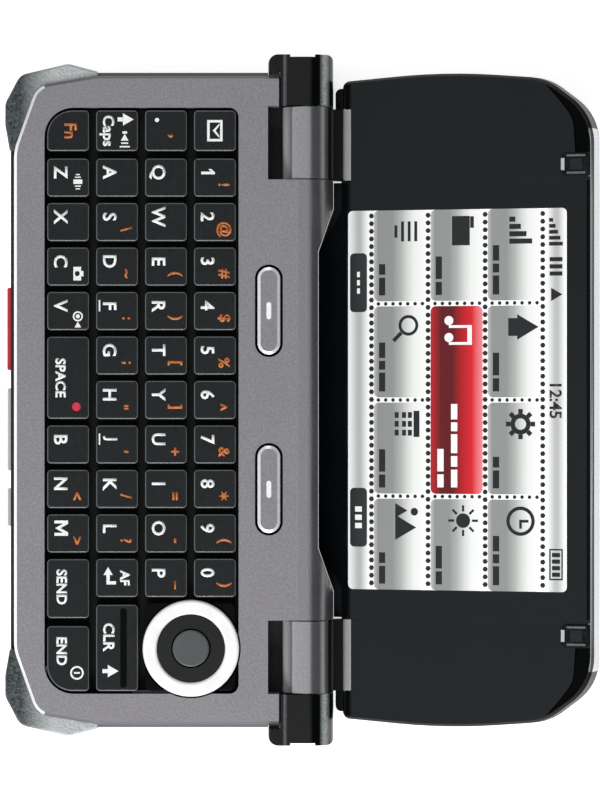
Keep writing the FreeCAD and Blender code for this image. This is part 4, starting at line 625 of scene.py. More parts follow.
for row, letters, seconds, columns, count in ROWS:
    places = key_places(row, count)
    mains = bmesh.new()
    others = bmesh.new()
    for letter, second, column in zip(letters, seconds, columns):
        x, y = places[column]
        main_x, main_y = x + MAIN_SHIFT[0], y + MAIN_SHIFT[1]
        if letter in HAND_DRAWN:
            HAND_DRAWN[letter](mains, main_x, main_y)
        else:
            add_word(mains, letter, main_x, main_y, CAPITAL)
        if letter in "FJ":
            add_bar(mains, main_x, y - HOME_MARK_DROP, *HOME_MARK)
        second_x, second_y = x + SECOND_SHIFT[0], y + SECOND_SHIFT[1]
        if second in HAND_DRAWN:
            HAND_DRAWN[second](others, second_x, second_y)
        elif second != " ":
            add_word(others, second, second_x, second_y, SECOND_HEIGHT, own_middle=True)
    add_print(mains, row + "_legends", white_ink, row)
    add_print(others, row + "_second_legends", orange_ink, row)


# Single keys: wider or marked with signs. Their legends are the same white and orange ink, and the
# space key carries a red dot. A dark band across the clear key is painted shadow, where the ring shades its
# step.

WORD_HEIGHT = {"Caps": 1.9, "Fn": 2.1, "AF": 1.6, "CLR": 1.9, "SPACE": 1.7, "SEND": 1.75, "END": 1.75}
ARROW = 2.0
ENVELOPE = (3.6, 2.6, 0.42)
SIGN_RISE = 1.65
CAMERA_SHIFT = 1.2
RING_SHADOW_SIZE = (13.4, 1.1)
RING_SHADOW_SHIFT = 1.1
RING_SHADOW_CORNER = 0.45


def round_corners(shape, radius, segments):
    """Round the corners of flat faces, by a radius in mm."""
    bmesh.ops.bevel(shape, geom=shape.verts[:], affect="VERTICES", offset=radius * MM, segments=segments,
                    profile=0.5, material=-1)


def marks_for(name):
    """An empty print and the key's middle in mm."""
    return (bmesh.new(),) + middle_of(name)


def envelope(shape, x, y, width, height, line):
    """A closed envelope drawn in lines, with the fold of its flap."""
    for side in (-1, 1):
        add_bar(shape, x, y + side * (height - line) / 2, width, line)
        add_bar(shape, x + side * (width - line) / 2, y, line, height - line * 2)
    flap, fold = width / 2 - line * 1.4, height / 2 - line * 1.3
    add_outline(shape, x, y, [(-flap, fold), (-flap + line * 0.8, fold), (0, line * 0.3),
                              (flap - line * 0.8, fold), (flap, fold), (0, -line * 0.9)])


def up_arrow(shape, x, y, size):
    """A triangle on a short stem."""
    add_disc(shape, x, y + size * 0.15, size * 0.6, sides=3)
    add_bar(shape, x, y - size * 0.38, size * 0.34, size * 0.44)


def dead_black():
    """Unpolished black in grooves and round the ring, where little light comes back, and for the clear key's
    painted shadow.
    """
    made, tree, surface = new_material("dead_black_abs", IOR=1.46, Specular_IOR_Level=0.08, Roughness=0.5)
    mottle(tree, surface, patch=14.0, shades=("#020303", "#060708"), relief=0.002, strength=0.1)
    return made


red_ink = printed_ink("red_ink", ("#c81f3c", "#d8304c"))
groove_and_shadow_black = dead_black()

marks, x, y = marks_for("message_key")
envelope(marks, x, y, *ENVELOPE)
add_print(marks, "message_sign", white_ink, "message_key")

marks, x, y = marks_for("period_key")
add_disc(marks, x - 1.8, y - 1.5, 0.36)
add_print(marks, "period_sign", white_ink, "period_key")
marks = bmesh.new()
add_word(marks, ",", x + 0.9, y + 1.9, CAPITAL)
add_print(marks, "comma_sign", orange_ink, "period_key")

marks, x, y = marks_for("caps_key")
add_word(marks, "Caps", x, y - 1.35, WORD_HEIGHT["Caps"])
up_arrow(marks, x - 1.9, y + 1.3, ARROW)
add_bar(marks, x + 0.3, y + 1.3, 0.4, 0.8)
add_disc(marks, x + 1.3, y + 1.3, 0.75, sides=3, degrees=90)
for reach in (1.3, 1.9):
    add_bar(marks, x + 0.8 + reach, y + 1.3, 0.25, reach * 0.9)
add_print(marks, "caps_signs", white_ink, "caps_key")

marks, x, y = marks_for("function_key")
add_word(marks, "Fn", x, y + 0.5, WORD_HEIGHT["Fn"])
add_print(marks, "function_sign", orange_ink, "function_key")

marks, x, y = marks_for("enter_key")
add_word(marks, "AF", x, y + 1.4, WORD_HEIGHT["AF"])
add_bar(marks, x + 0.3, y - 1.5, 1.6, 0.55)
add_bar(marks, x + 0.825, y - 0.7, 0.55, 1.05)
add_disc(marks, x - 0.95, y - 1.5, 0.9, sides=3, degrees=90)
add_print(marks, "enter_sign", white_ink, "enter_key")

marks, x, y = marks_for("clear_key")
add_word(marks, "CLR", x - 1.9, y - 1.3, WORD_HEIGHT["CLR"])
up_arrow(marks, x + 3.9, y - 1.25, ARROW)
add_print(marks, "clear_signs", white_ink, "clear_key")

marks, x, y = marks_for("space_key")
add_word(marks, "SPACE", x, y - 1.2, WORD_HEIGHT["SPACE"])
add_print(marks, "space_word", white_ink, "space_key")
marks = bmesh.new()
add_disc(marks, x + 4.9, y + 1.4, 0.72)
add_print(marks, "space_dot", red_ink, "space_key")

marks, x, y = marks_for("send_key")
add_word(marks, "SEND", x - 0.3, y - 1.0, WORD_HEIGHT["SEND"])
add_print(marks, "send_word", white_ink, "send_key")

marks, x, y = marks_for("end_key")
add_word(marks, "END", x - 1.3, y - 1.0, WORD_HEIGHT["END"])
add_hoop(marks, x + 2.4, y + 1.5, 1.15, 0.3)
add_bar(marks, x + 2.4, y + 1.5, 0.3, 1.0)
add_print(marks, "end_signs", white_ink, "end_key")

# Small signs beside the letters of the lower row: vibration, a camera and a voice.

lower_keys = key_places("lower_letter_keys", 9)
marks = bmesh.new()
x, y = lower_keys[0][0] + 0.7, lower_keys[0][1] + SIGN_RISE
add_bar(marks, x, y, 0.75, 1.5)
for side in (-1, 1):
    add_bar(marks, x + side * 0.75, y, 0.2, 1.0)
    add_bar(marks, x + side * 1.2, y, 0.2, 0.7)
x = lower_keys[2][0] + CAMERA_SHIFT
add_bar(marks, x, y - 0.1, 2.3, 1.3)
add_bar(marks, x, y + 0.75, 0.9, 0.4)
x = lower_keys[3][0] + 0.9
add_hoop(marks, x, y, 0.85, 0.25)
add_disc(marks, x, y, 0.35)
add_disc(marks, x + 1.55, y, 0.65, sides=3, degrees=90)
add_print(marks, "lower_letter_signs", white_ink, "lower_letter_keys")
marks = bmesh.new()
add_disc(marks, lower_keys[2][0] + CAMERA_SHIFT, y - 0.1, 0.42)
add_print(marks, "camera_sign_lens", satin, "lower_letter_keys", KEY_TOP + INK)

# Painted shadow: a dark band where the ring shades the clear key's step.
marks, x, y = marks_for("clear_key")
add_bar(marks, x, y + RING_SHADOW_SHIFT, *RING_SHADOW_SIZE)
round_corners(marks, RING_SHADOW_CORNER, segments=4)
add_print(marks, "clear_key_ring_shadow", groove_and_shadow_black, "clear_key")


# Soft keys: long plastic capsules sprayed in nearly the plate's paint. Their broad bevel carries a pale
# painted highlight all round, and a short white dash is printed in the middle.

BEVEL_WIDTH = 0.5
BEVEL_DROP = 0.2
BROAD_BEVEL = (0.3, 0.98)
ROUND_END = 0.99
UPPER_SHARE = 0.9
DASH = (2.9, 0.8)
DASH_CORNER = 0.38


def soft_key(name, material, highlight_material):
    """A capsule whose broad bevel carries a pale painted highlight, in the place of the plain one."""
    low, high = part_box(name)
    low, high = low / MM, high / MM
    shape = bmesh.new()
    add_bar(shape, (low.x + high.x) / 2, (low.y + high.y) / 2, high.x - low.x, high.y - low.y)
    round_corners(shape, (high.y - low.y) / 2 * ROUND_END, segments=14)
    raise_print(shape, high.z - low.z)
    top = max(shape.faces, key=lambda face: face.calc_center_median().z)
    bmesh.ops.inset_region(shape, faces=[top], thickness=BEVEL_WIDTH * MM, depth=0)
    upper = (high.z - low.z) * MM * UPPER_SHARE
    outer = [vertex for vertex in shape.verts if vertex.co.z > upper and vertex not in top.verts[:]]
    bmesh.ops.translate(shape, verts=outer, vec=(0, 0, -BEVEL_DROP * MM))
    shape.normal_update()
    for face in shape.faces:
        # The bevel's faces take the second material, a painted highlight.
        face.material_index = 1 if BROAD_BEVEL[0] < face.normal.z < BROAD_BEVEL[1] else 0
    key = add_piece(shape, name + "_cap", material, name, Matrix.Translation((0, 0, low.z * MM)))
    key.data.materials.append(highlight_material)
    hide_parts(name)


soft_paint = metallic_paint("soft_key_paint", ("#8b898e", "#9f9da2"),
                            metallic=0.5, roughness=0.38, coat=0.2)
soft_rim_highlight = metallic_paint("soft_key_rim_painted_highlight", ("#dcdcde", "#ececee"),
                                metallic=0.3, roughness=0.3, coat=0.3)
for name in ("softkey_left", "softkey_right"):
    soft_key(name, soft_paint, soft_rim_highlight)
    marks, x, y = marks_for(name)
    add_bar(marks, x, y, *DASH)
    round_corners(marks, DASH_CORNER, segments=5)
    add_print(marks, name + "_dash", white_ink, name)


# Navigation ring: a hoop sprayed white round a dark well, with a grey middle key. A dull black
# plate fills the keyboard's corner round it and stays clear of the ring as it tilts.

RING_MIDDLE = middle_of("nav_ring")
MASK_HOLE = 8.45
MASK_TOP = 12.95
MASK_THICK = 1.2
MASK_MARGIN = 0.9
MASK_CORNER = 1.2


def ring_paint():
    """White lacquer, bright under a thin gloss."""
    made, tree, surface = new_material("white_ring_paint", IOR=1.5, Coat_Weight=0.3, Coat_Roughness=0.1)
    mottle(tree, surface, patch=3.0, shades=("#f4f4f5", "#ffffff"), relief=0.002, strength=0.1)
    smudges(tree, surface, patch=6.0, low=0.28, high=0.36)
    return made


def cut_out(piece, shape, name):
    """Take a closed bmesh out of a piece for good."""
    mesh = bpy.data.meshes.new(name)
    bmesh.ops.recalc_face_normals(shape, faces=shape.faces)
    shape.to_mesh(mesh)
    shape.free()
    cutter = bpy.data.objects.new(name, mesh)
    bpy.context.scene.collection.objects.link(cutter)
    modifier = piece.modifiers.new("cut", "BOOLEAN")
    modifier.operation = "DIFFERENCE"
    modifier.solver = "EXACT"
    modifier.object = cutter
    bpy.context.view_layer.update()
    seen = piece.evaluated_get(bpy.context.evaluated_depsgraph_get())
    result = bpy.data.meshes.new_from_object(seen)
    piece.modifiers.clear()
    piece.data = result
    bpy.data.objects.remove(cutter)


def soften_top(shape, thickness, width, segments):
    """Bevel the upper edges of a raised outline by a width in mm."""
    upper = thickness * MM * UPPER_SHARE
    rims = [edge for edge in shape.edges if all(vertex.co.z > upper for vertex in edge.verts)]
    bmesh.ops.bevel(shape, geom=rims, affect="EDGES", offset=width * MM, segments=segments, profile=0.5,
                    material=-1)


def lay_ring_mask():
    """The corner's plate, from the last digit key to the end key's edge, with a hole for the ring."""
    left = key_places("digit_keys", 10)[9][0] + KEY_WIDTH / 2 + MASK_MARGIN
    right = middle_of("end_key")[0] + (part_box("end_key")[1].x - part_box("end_key")[0].x) / MM / 2
    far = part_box("digit_keys")[1].y / MM
    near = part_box("upper_letter_keys")[0].y / MM
    shape = bmesh.new()
    add_bar(shape, (left + right) / 2, (near + far) / 2, right - left, far - near)
    round_corners(shape, MASK_CORNER, segments=5)
    raise_print(shape, MASK_THICK)
    soften_top(shape, MASK_THICK, width=0.25, segments=3)
    mask = add_piece(shape, "ring_mask", groove_and_shadow_black, "base",
                     Matrix.Translation((0, 0, (MASK_TOP - MASK_THICK) * MM)))
    hole = bmesh.new()
    add_disc(hole, *RING_MIDDLE, MASK_HOLE, sides=96)
    raise_print(hole, MASK_THICK * 3)
    bmesh.ops.translate(hole, verts=hole.verts, vec=(0, 0, (MASK_TOP - MASK_THICK * 2) * MM))
    cut_out(mask, hole, "ring_hole")


finish(ring_paint(), "nav_ring")
finish(polished_plastic("well_abs", ("#0b0d0e", "#121415"), low=0.3, high=0.4, ior=1.43), "nav_well")
finish(polished_plastic("middle_key_abs", ("#494b4d", "#555759"), low=0.35, high=0.45, ior=1.46), "ok_key")
lay_ring_mask()


# Keys in the front edge: a red push-to-talk key moulded in its colour, and a volume rocker and a
# camera key sprayed silver. They stand in slots between the two shells.

def red_key_plastic():
    """Plain red plastic with a satin skin."""
    made, tree, surface = new_material("red_key_plastic", IOR=1.5)
    mottle(tree, surface, patch=1.5, shades=("#b8182c", "#cb2036"), relief=0.004, strength=0.2)
    smudges(tree, surface, patch=5.0, low=0.3, high=0.42)
    return made


key_silver_and_pad_highlight = metallic_paint("key_silver_paint_and_pad_highlight", ("#c2c4c6", "#d2d4d6"),
                            metallic=0.6, roughness=0.32, coat=0.2)
finish(red_key_plastic(), "talk_key")
finish(key_silver_and_pad_highlight, "volume_rocker", "camera_key")


# Lid frame and outer shell: one moulding sprayed silver at the hinge and along the far edge, masked
# off and left gloss black down the sides. The black between each knuckle and its neck is painted
# shadow, and a pale painted highlight lies on the knuckles' front edge and on the necks. The outer
# shell is grained like the base, and a soft black lip, a dark piece standing in for the shade in
# the slit, fills the slit between the lid and the hinge barrel.

# Places on the lid are given with the lid laid flat: x along it, y away from the hinge's axis.

hinge = next(joint for joint in frame["joints"] if joint["name"] == "lid_hinge")
LID_TILT = math.radians(180 - hinge["range_deg"][1])
LID_PLACE = Matrix.Translation(hinge["pos_m"]) @ Matrix.Rotation(LID_TILT, 4, "X")
INNER_FACE = -5.0
HINGE_END_X = (37.2, 49.6)
KNUCKLE_Y = (-20.0, 4.4)
KNUCKLE_HIGHLIGHT_Y = (-3.4, -1.7)
NECK_Y = (7.0, 8.3)
NECK_HIGHLIGHT_SHARE = 0.45
RIM_X = (-1.0, 45.5)
RIM_Y = (47.9, 90.0)
LIP_STRAIGHT = 25.3
LIP_SLANT = 32.6
LIP_END = HINGE_END_X[0] - 0.15
LIP_NEAR = 0.08
LIP_BESIDE = 2.8
LIP_FAR = 5.2
LIP_DROP = 0.5
LIP_THICK = 2.6


def masked_paint_with_painted_light():
    """Silver paint where the mask was open, black plastic elsewhere.

    The black left between each knuckle and its neck is painted shadow, and a pale painted highlight lies on
    the knuckles' front edge and on the necks.
    """
    made, tree, surface = new_material("masked_silver_paint_with_painted_light", Coat_Roughness=0.1, IOR=1.4)
    tone = mottle(tree, surface, patch=0.35, shades=("#a4a5a8", "#b3b4b7"), relief=0.004, strength=0.2)
    across = distance_across(tree)
    along = axes(tree)["Y"]
    # Painted shadow: the hinge ends stay black between the knuckle band and the neck band.
    knuckle_or_neck = add_node(tree, "ShaderNodeMath", {"operation": "MAXIMUM"},
                               {0: band(tree, along, *KNUCKLE_Y), 1: band(tree, along, *NECK_Y)})
    hinge_end = add_node(tree, "ShaderNodeMath", {"operation": "MULTIPLY"},
                         {0: band(tree, across, *HINGE_END_X), 1: knuckle_or_neck.outputs[0]})
    rim = add_node(tree, "ShaderNodeMath", {"operation": "MULTIPLY"},
                   {0: band(tree, across, *RIM_X), 1: band(tree, along, *RIM_Y)})
    silver = add_node(tree, "ShaderNodeMath", {"operation": "MAXIMUM"},
                      {0: hinge_end.outputs[0], 1: rim.outputs[0]})
    # Painted highlight: a pale tone on the knuckles' front edge and, at a share, on the necks; it also lowers
    # the metallic there.
    edge = add_node(tree, "ShaderNodeMapRange",
                    {"From Min": KNUCKLE_HIGHLIGHT_Y[0] * MM, "From Max": KNUCKLE_HIGHLIGHT_Y[1] * MM, "To Min": 1.0,
                     "To Max": 0.0}, {"Value": along})
    neck = add_node(tree, "ShaderNodeMath", {"operation": "MULTIPLY", 1: NECK_HIGHLIGHT_SHARE},
                    {0: band(tree, along, *NECK_Y)})
    painted_highlight_share = add_node(tree, "ShaderNodeMath", {"operation": "MAXIMUM"},
                     {0: edge.outputs[0], 1: neck.outputs[0]})
    pale = add_node(tree, "ShaderNodeMix", {"data_type": "RGBA", 7: linear("#f4f4f6")},
                    {0: painted_highlight_share.outputs[0], 6: tone.outputs[2]})
    paint = add_node(tree, "ShaderNodeMix", {"data_type": "RGBA", 6: linear("#050607")},
                     {0: silver.outputs[0], 7: pale.outputs[2]})
    bare = add_node(tree, "ShaderNodeMapRange", {"To Min": 0.85, "To Max": 0.1},
                    {"Value": painted_highlight_share.outputs[0]})
    metal = add_node(tree, "ShaderNodeMath", {"operation": "MULTIPLY"},
                     {0: silver.outputs[0], 1: bare.outputs[0]})
    coat = add_node(tree, "ShaderNodeMath", {"operation": "MULTIPLY", 1: 0.3}, {0: silver.outputs[0]})
    rough = add_node(tree, "ShaderNodeMapRange", {"To Min": 0.45, "To Max": 0.2},
                     {"Value": silver.outputs[0]})
    tree.links.new(coat.outputs[0], surface.inputs["Coat Weight"])
    tree.links.new(paint.outputs[2], surface.inputs["Base Color"])
    tree.links.new(metal.outputs[0], surface.inputs["Metallic"])
    tree.links.new(rough.outputs[0], surface.inputs["Roughness"])
    return made


def lay_slit_shade_lip():
    """A black lip just under the lid's near edge, straight in the middle and set back at its ends: a dark
    piece standing in for the shade in the slit.
    """
    shape = bmesh.new()
    right = [(LIP_STRAIGHT, LIP_NEAR), (LIP_SLANT, LIP_BESIDE), (LIP_END, LIP_BESIDE), (LIP_END, LIP_FAR)]
    add_outline(shape, 0, 0, right + [(-x, y) for x, y in reversed(right)])
    raise_print(shape, LIP_THICK)
    soften_top(shape, LIP_THICK, width=0.12, segments=2)
    add_piece(shape, "slit_shade_lip", mat_rubber_and_slit_shade, "lid",
              LID_PLACE @ Matrix.Translation((0, 0, (INNER_FACE - LIP_DROP - LIP_THICK) * MM)))


finish(masked_paint_with_painted_light(), "lid_frame")
finish(black_abs, "lid_outer_shell")
lay_slit_shade_lip()


# Inner face of the lid: three gloss black acrylic panels, black strips in the far corners, and two
# soft pads that meet the keyboard when the phone is shut, each round a small slab. Grey painted
# highlights run along each pad's sides and a silver painted highlight across its end nearer the hinge.
# A dull black line runs along the far side of the window.

PAD_X = (0.0, 41.6)
PAD_MIDDLES = (39.5, 45.3)
PAD_PROUD = 0.4
SIDE_HIGHLIGHT = (0.35, 3.2)
SIDE_HIGHLIGHT_REACH = 1.45
MARK_SHIFT = 0.35
END_HIGHLIGHT = (2.0, 0.6)
END_HIGHLIGHT_SHIFT = -1.95
SLAB = (1.9, 2.0)
HIGHLIGHT_THICK = 0.08
SLAB_THICK = 0.05
EDGE_LINE_Y = (47.35, 47.95)
EDGE_LINE_LENGTH = 73.6


def pad_and_strip():
    """Black rubber on the pads, and deep black plastic on the strips beyond them."""
    made, tree, surface = new_material("pad_rubber", IOR=1.5, Specular_IOR_Level=0.05)
    tone = mottle(tree, surface, patch=0.6, shades=("#0e1011", "#1c1f20"), relief=0.01, strength=0.3)
    pad = band(tree, distance_across(tree), *PAD_X)
    shade = add_node(tree, "ShaderNodeMix", {"data_type": "RGBA", 6: linear("#020303")},
                     {0: pad, 7: tone.outputs[2]})
    rough = add_node(tree, "ShaderNodeMapRange", {"To Min": 0.3, "To Max": 0.5}, {"Value": pad})
    tree.links.new(shade.outputs[2], surface.inputs["Base Color"])
    tree.links.new(rough.outputs[0], surface.inputs["Roughness"])
    return made


def lay_on_lid(shape, name, material, height, thickness):
    """A piece on the inner face, drawn flat with x along the lid and y away from the hinge."""
    raise_print(shape, thickness)
    add_piece(shape, name, material, "lid",
              LID_PLACE @ Matrix.Translation((0, 0, (INNER_FACE + height) * MM)))


acrylic = polished_plastic("gloss_black_acrylic", ("#06090c", "#090d11"), low=0.04, high=0.1, ior=1.4)
# Painted highlight: grey ink along the pads' sides.
pad_highlight_grey = printed_ink("pad_highlight_grey", ("#54585a", "#64686a"))
finish(acrylic, "display_window", "wing_panels", "outer_window", "outer_display", "display_module")
finish(pad_and_strip(), "lid_pads")
finish(mat_rubber_and_slit_shade, "receiver")

# Painted highlights on the pads: grey along the sides and silver across the end nearer the hinge.
side_highlight_marks = bmesh.new()
end_highlight_marks = bmesh.new()
slabs = bmesh.new()
for side in (-1, 1):
    x, y = PAD_MIDDLES[0] * side, PAD_MIDDLES[1]
    for flank in (-1, 1):
        add_bar(side_highlight_marks, x + flank * SIDE_HIGHLIGHT_REACH, y + MARK_SHIFT, *SIDE_HIGHLIGHT)
    add_bar(end_highlight_marks, x, y + END_HIGHLIGHT_SHIFT, *END_HIGHLIGHT)
    add_bar(slabs, x, y + MARK_SHIFT, *SLAB)
lay_on_lid(side_highlight_marks, "pad_side_highlights", pad_highlight_grey, PAD_PROUD, HIGHLIGHT_THICK)
lay_on_lid(end_highlight_marks, "pad_end_highlights", key_silver_and_pad_highlight, PAD_PROUD, HIGHLIGHT_THICK)
lay_on_lid(slabs, "pad_slabs", satin, PAD_PROUD, SLAB_THICK)
edge_line = bmesh.new()
add_bar(edge_line, 0, sum(EDGE_LINE_Y) / 2, EDGE_LINE_LENGTH, EDGE_LINE_Y[1] - EDGE_LINE_Y[0])
lay_on_lid(edge_line, "window_edge_line", groove_and_shadow_black, 0, INK)


# Screen: a lit colour display bonded under the window, laid here in thin layers on its face. Silver
# tiles between dotted lines carry plain signs, one double tile is red, and bars run along both edges.

SCREEN_HALF = 32.2
SCREEN_NEAR = 5.6
SCREEN_FAR = 43.95
BAR_DEPTH = 3.7
BAR_CORNER = 0.8
TILE_COLUMNS = 4
TILE_ROWS = 3
TILE_GAP = 0.9
TILE_CORNER = 0.9
RED_TILE = 5
SIGN_SCALE = 1.3
SIGN_INSET = (3.6, 3.4)
RED_SIGN_INSET = (4.6, 4.2)
LABEL_INSET = (1.0, 0.9)
RED_LABEL_INSET = 2.0
RED_LABEL_RISES = (3.6, 1.2)
LABELS = ((2.6, 1.5, 3.2), (3.8, 2.2), (1.8, 3.0))
BLOCK_HEIGHT = 1.1
BLOCK_GAP = 0.5
DOT_PITCH = 1.3
LINE_DOT = 0.46
COLUMN_DOT = 0.34
DOT_SIDES = 6
CLOCK_HEIGHT = 2.1
CLOCK_STROKE = 0.06
PILL_HALVES = (5.0, 1.5)
PILL_CORNER = 0.7
PILL_SHARE = 0.62
LAYER = 0.02


def lit_display(name, stops, glow=0.12):
    """Light from the display, shaded by the tile's own height from its UV map."""
    made, tree, surface = new_material(name, Roughness=0.25, IOR=1.45, Emission_Strength=glow)
    ramp = add_node(tree, "ShaderNodeValToRGB", links={0: axes(tree, "UV")["Y"]})
    fill_ramp(ramp, stops)
    tree.links.new(ramp.outputs["Color"], surface.inputs["Base Color"])
    tree.links.new(ramp.outputs["Color"], surface.inputs["Emission Color"])
    return made


def round_tile(shape, low_x, high_x, low_y, high_y, corner):
    """A flat tile whose UV map runs from its lower edge to its upper edge."""
    tile = bmesh.new()
    add_bar(tile, (low_x + high_x) / 2, (low_y + high_y) / 2, high_x - low_x, high_y - low_y)
    round_corners(tile, corner, segments=4)
    layer = tile.loops.layers.uv.verify()
    for face in tile.faces:
        for loop in face.loops:
            share = (loop.vert.co.y / MM - low_y) / (high_y - low_y)
            loop[layer].uv = ((loop.vert.co.x / MM - low_x) / (high_x - low_x), share)
    mesh = bpy.data.meshes.new("tile")
    tile.to_mesh(mesh)
    tile.free()
    shape.from_mesh(mesh)
    bpy.data.meshes.remove(mesh)


def clock(shape, x, y):
    """A round clock at three."""
    add_hoop(shape, x, y, 1.9, 0.45)
    add_bar(shape, x, y + 0.45, 0.35, 1.25)
    add_bar(shape, x + 0.575, y, 0.8, 0.35)


def calendar(shape, x, y):
    """A month's page in small squares."""
    add_bar(shape, x, y + 1.4, 3.4, 0.8)
    for column in (-1, 0, 1):
        for line in (-1.3, -0.3, 0.5):
            add_bar(shape, x + column * 1.15, y + line, 0.75, 0.55)


def folder(shape, x, y):
    """A folder with its tab."""
    add_bar(shape, x, y - 0.3, 3.8, 2.4)
    add_bar(shape, x - 1.1, y + 1.2, 1.5, 0.5)


def sun(shape, x, y):
    """A disc with eight rays."""
    add_disc(shape, x, y, 0.95)
    for turn in range(8):
        angle = turn * math.pi / 4
        add_bar(shape, x + 1.6 * math.cos(angle), y + 1.6 * math.sin(angle), 0.8, 0.3, turn * 45)


def cog(shape, x, y):
    """A gear with eight teeth."""
    add_hoop(shape, x, y, 1.35, 0.6)
    for turn in range(8):
        angle = turn * math.pi / 4
        add_bar(shape, x + 1.65 * math.cos(angle), y + 1.65 * math.sin(angle), 0.6, 0.6, turn * 45)


def chart(shape, x, y):
    """Four bars that rise to the right."""
    for step in range(4):
        height = 0.8 + step * 0.75
        add_bar(shape, x - 1.4 + step * 0.95, y - 1.5 + height / 2, 0.65, height)


def house(shape, x, y):
    """A gable over a wall."""
    add_disc(shape, x, y + 0.5, 1.9, sides=3)
    add_bar(shape, x, y - 1.05, 2.3, 1.2)


def lens(shape, x, y):
    """A magnifying glass."""
    add_hoop(shape, x - 0.3, y + 0.3, 1.35, 0.4)
    add_bar(shape, x + 1.2, y - 1.2, 1.5, 0.5, -45)


def page(shape, x, y):
    """Four lines of writing, the last one short."""
    for line in range(4):
        add_bar(shape, x, y + 1.3 - line * 0.9, 2.6 if line < 3 else 1.6, 0.4)


def hills(shape, x, y):
    """Two hills and a small disc above them."""
    add_disc(shape, x - 1.25, y - 0.95, 1.1, sides=3)
    add_disc(shape, x + 0.95, y - 0.55, 1.9, sides=3)
    add_disc(shape, x - 1.1, y + 1.1, 0.5)


def notes(shape, x, y):
    """Two notes under one beam."""
    for side in (-1, 1):
        add_disc(shape, x + side * 1.1 - 0.55, y - 1.3, 0.6)
        add_bar(shape, x + side * 1.1 + 0.225, y - 0.05, 0.35, 2.5)
    add_bar(shape, x + 0.225, y + 1.5, 2.55, 0.6)


def word_blocks(shape, right, y, widths):
    """A line of plain blocks where a label would be, ending at the right."""
    for width in reversed(widths):
        add_bar(shape, right - width / 2, y + BLOCK_HEIGHT / 2, width, BLOCK_HEIGHT)
        right -= width + BLOCK_GAP


def place_sign(shape, sign, x, y):
    """Draw a sign about its own middle and set it, enlarged, on its tile."""
    small = bmesh.new()
    sign(small, 0, 0)
    mesh = bpy.data.meshes.new("sign")
    small.to_mesh(mesh)
    small.free()
    mesh.transform(Matrix.Translation((x * MM, y * MM, 0)) @ Matrix.Scale(SIGN_SCALE, 4))
    shape.from_mesh(mesh)
    bpy.data.meshes.remove(mesh)


# The double tile, red, takes the two places that hold no sign here.

SIGNS = (chart, house, cog, clock, folder, None, None, sun, page, lens, calendar, hills)

silver_light = lit_display("silver_tile_light",
                           ((0.0, "#b8bab8"), (0.08, "#8a8d8b"), (0.36, "#8a8d8b"), (0.52, "#a9aba9"),
                            (0.66, "#cfd1cf"), (0.78, "#e4e6e4"), (1.0, "#eeefee")))
red_light = lit_display("red_tile_light",
                        ((0.0, "#b41a24"), (0.2, "#5c080f"), (0.42, "#5a080f"), (0.6, "#a8101a"),
                         (0.8, "#d21a26"), (1.0, "#e88890")))
bar_light = lit_display("bar_light",
                        ((0.0, "#fafafa"), (0.45, "#b4b7b6"), (0.6, "#b4b7b6"), (1.0, "#fafafa")))
dark_light = lit_display("dark_sign_light", ((0.0, "#1c1e20"), (1.0, "#2c2e31")), glow=0.05)
white_light = lit_display("white_sign_light", ((0.0, "#f2f2f2"), (1.0, "#ffffff")))

field = bmesh.new()
round_tile(field, -SCREEN_HALF, SCREEN_HALF, SCREEN_NEAR, SCREEN_FAR, TILE_CORNER)
lay_on_lid(field, "screen_field", white_light, LAYER, LAYER / 2)

bars = bmesh.new()
for low in (SCREEN_NEAR, SCREEN_FAR - BAR_DEPTH):
    round_tile(bars, -SCREEN_HALF, SCREEN_HALF, low, low + BAR_DEPTH, BAR_CORNER)
lay_on_lid(bars, "screen_bars", bar_light, LAYER * 2, LAYER / 2)

tiles = bmesh.new()
red_tile = bmesh.new()
signs = bmesh.new()
red_signs = bmesh.new()
dots = bmesh.new()
low_edge = SCREEN_NEAR + BAR_DEPTH + TILE_GAP
tile_depth = (SCREEN_FAR - BAR_DEPTH - low_edge) / TILE_ROWS
tile_width = (SCREEN_HALF * 2 + TILE_GAP) / TILE_COLUMNS
for index, sign in enumerate(SIGNS):
    column, line = index % TILE_COLUMNS, index // TILE_COLUMNS
    left = -SCREEN_HALF + column * tile_width
    near = low_edge + (TILE_ROWS - 1 - line) * tile_depth
    far = near + tile_depth - TILE_GAP
    if index == RED_TILE:
        right = left + tile_width * 2
        round_tile(red_tile, left, right - TILE_GAP, near, far, TILE_CORNER)
        place_sign(red_signs, notes, left + RED_SIGN_INSET[0], far - RED_SIGN_INSET[1])
        word_blocks(red_signs, right - RED_LABEL_INSET, near + RED_LABEL_RISES[0], LABELS[0] + LABELS[2])
        word_blocks(red_signs, right - RED_LABEL_INSET, near + RED_LABEL_RISES[1], LABELS[1])
    elif sign:
        right = left + tile_width - TILE_GAP
        round_tile(tiles, left, right, near, far, TILE_CORNER)
        place_sign(signs, sign, left + SIGN_INSET[0], far - SIGN_INSET[1])
        word_blocks(signs, right - LABEL_INSET[0], near + LABEL_INSET[1], LABELS[index % len(LABELS)])

# Dotted lines along the bars and between the tiles, apart from the gap that the red tile spans.

